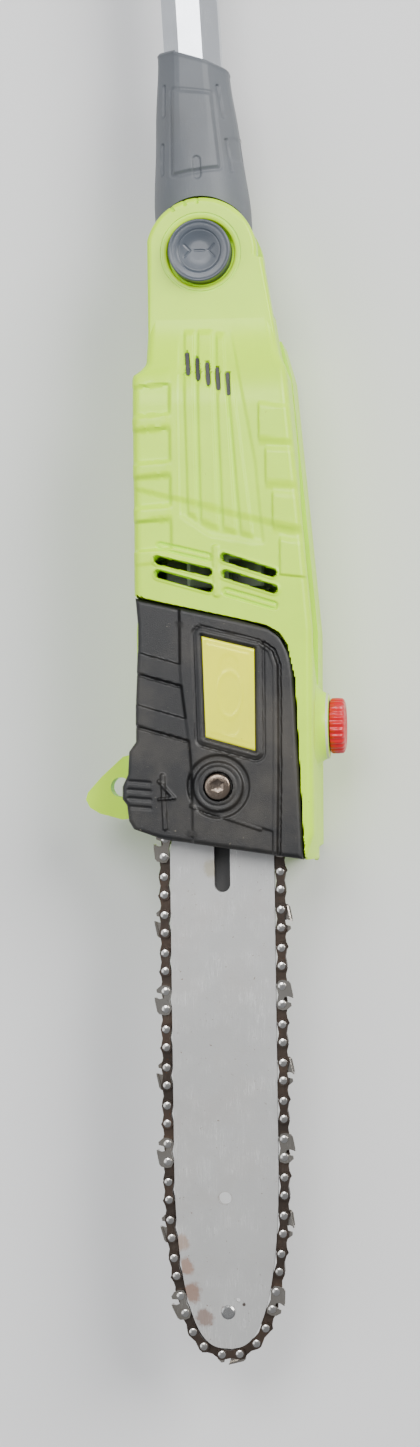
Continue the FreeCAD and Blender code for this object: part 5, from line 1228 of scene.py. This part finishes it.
class POLESAW_OT_chain(bpy.types.Operator):
    """Build the saw chain link by link"""
    bl_idname = "polesaw.chain"
    bl_label = "Saw chain"

    def execute(self, context):
        saw_chain(FINISHES)
        return {"FINISHED"}


class POLESAW_OT_controls(bpy.types.Operator):
    """Build the oil cap and the tilt button"""
    bl_idname = "polesaw.controls"
    bl_label = "Oil cap and tilt button"

    def execute(self, context):
        oil_cap(finished("red_cap"))
        push_button(finished("button_grey"))
        return {"FINISHED"}


class POLESAW_OT_pole(bpy.types.Operator):
    """Build the knuckle collar and the foam sleeve"""
    bl_idname = "polesaw.pole"
    bl_label = "Collar and foam sleeve"

    def execute(self, context):
        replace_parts(collar_surface(finished("grey_collar")), "collar_upper_shell", "collar_lower_shell")
        foam_sleeve(finished("foam"))
        return {"FINISHED"}


class POLESAW_OT_stage(bpy.types.Operator):
    """Set the floor, the lights and the camera"""
    bl_idname = "polesaw.stage"
    bl_label = "Stage"

    def execute(self, context):
        build_stage(context.scene.pole_saw_sizes)
        return {"FINISHED"}


class POLESAW_PT_panel(bpy.types.Panel):
    """Sidebar panel with the colours, the sizes and the steps in order"""
    bl_label = "Pole saw"
    bl_idname = "POLESAW_PT_panel"
    bl_space_type = "VIEW_3D"
    bl_region_type = "UI"
    bl_category = "Pole saw"

    def draw(self, context):
        for settings in (context.scene.pole_saw_colours, context.scene.pole_saw_sizes):
            for key in settings.__annotations__:
                self.layout.prop(settings, key)
        for operator in OPERATORS:
            self.layout.operator(operator.bl_idname)


OPERATORS = (POLESAW_OT_finishes, POLESAW_OT_head_shell, POLESAW_OT_sprocket_cover, POLESAW_OT_chain,
             POLESAW_OT_controls, POLESAW_OT_pole, POLESAW_OT_stage)
CLASSES = (PoleSawColours, PoleSawSizes, *OPERATORS, POLESAW_PT_panel)


def register():
    """Add the classes and the scene's settings."""
    for item in CLASSES:
        bpy.utils.register_class(item)
    bpy.types.Scene.pole_saw_colours = bpy.props.PointerProperty(type=PoleSawColours)
    bpy.types.Scene.pole_saw_sizes = bpy.props.PointerProperty(type=PoleSawSizes)


def unregister():
    """Take the settings and the classes away again."""
    del bpy.types.Scene.pole_saw_sizes
    del bpy.types.Scene.pole_saw_colours
    for item in reversed(CLASSES):
        bpy.utils.unregister_class(item)


def main():
    """Build everything in order."""
    register()
    for operator in OPERATORS:
        group_name, call = operator.bl_idname.split(".")
        getattr(getattr(bpy.ops, group_name), call)()
    bpy.context.view_layer.update()


if __name__ == "__main__":
    main()
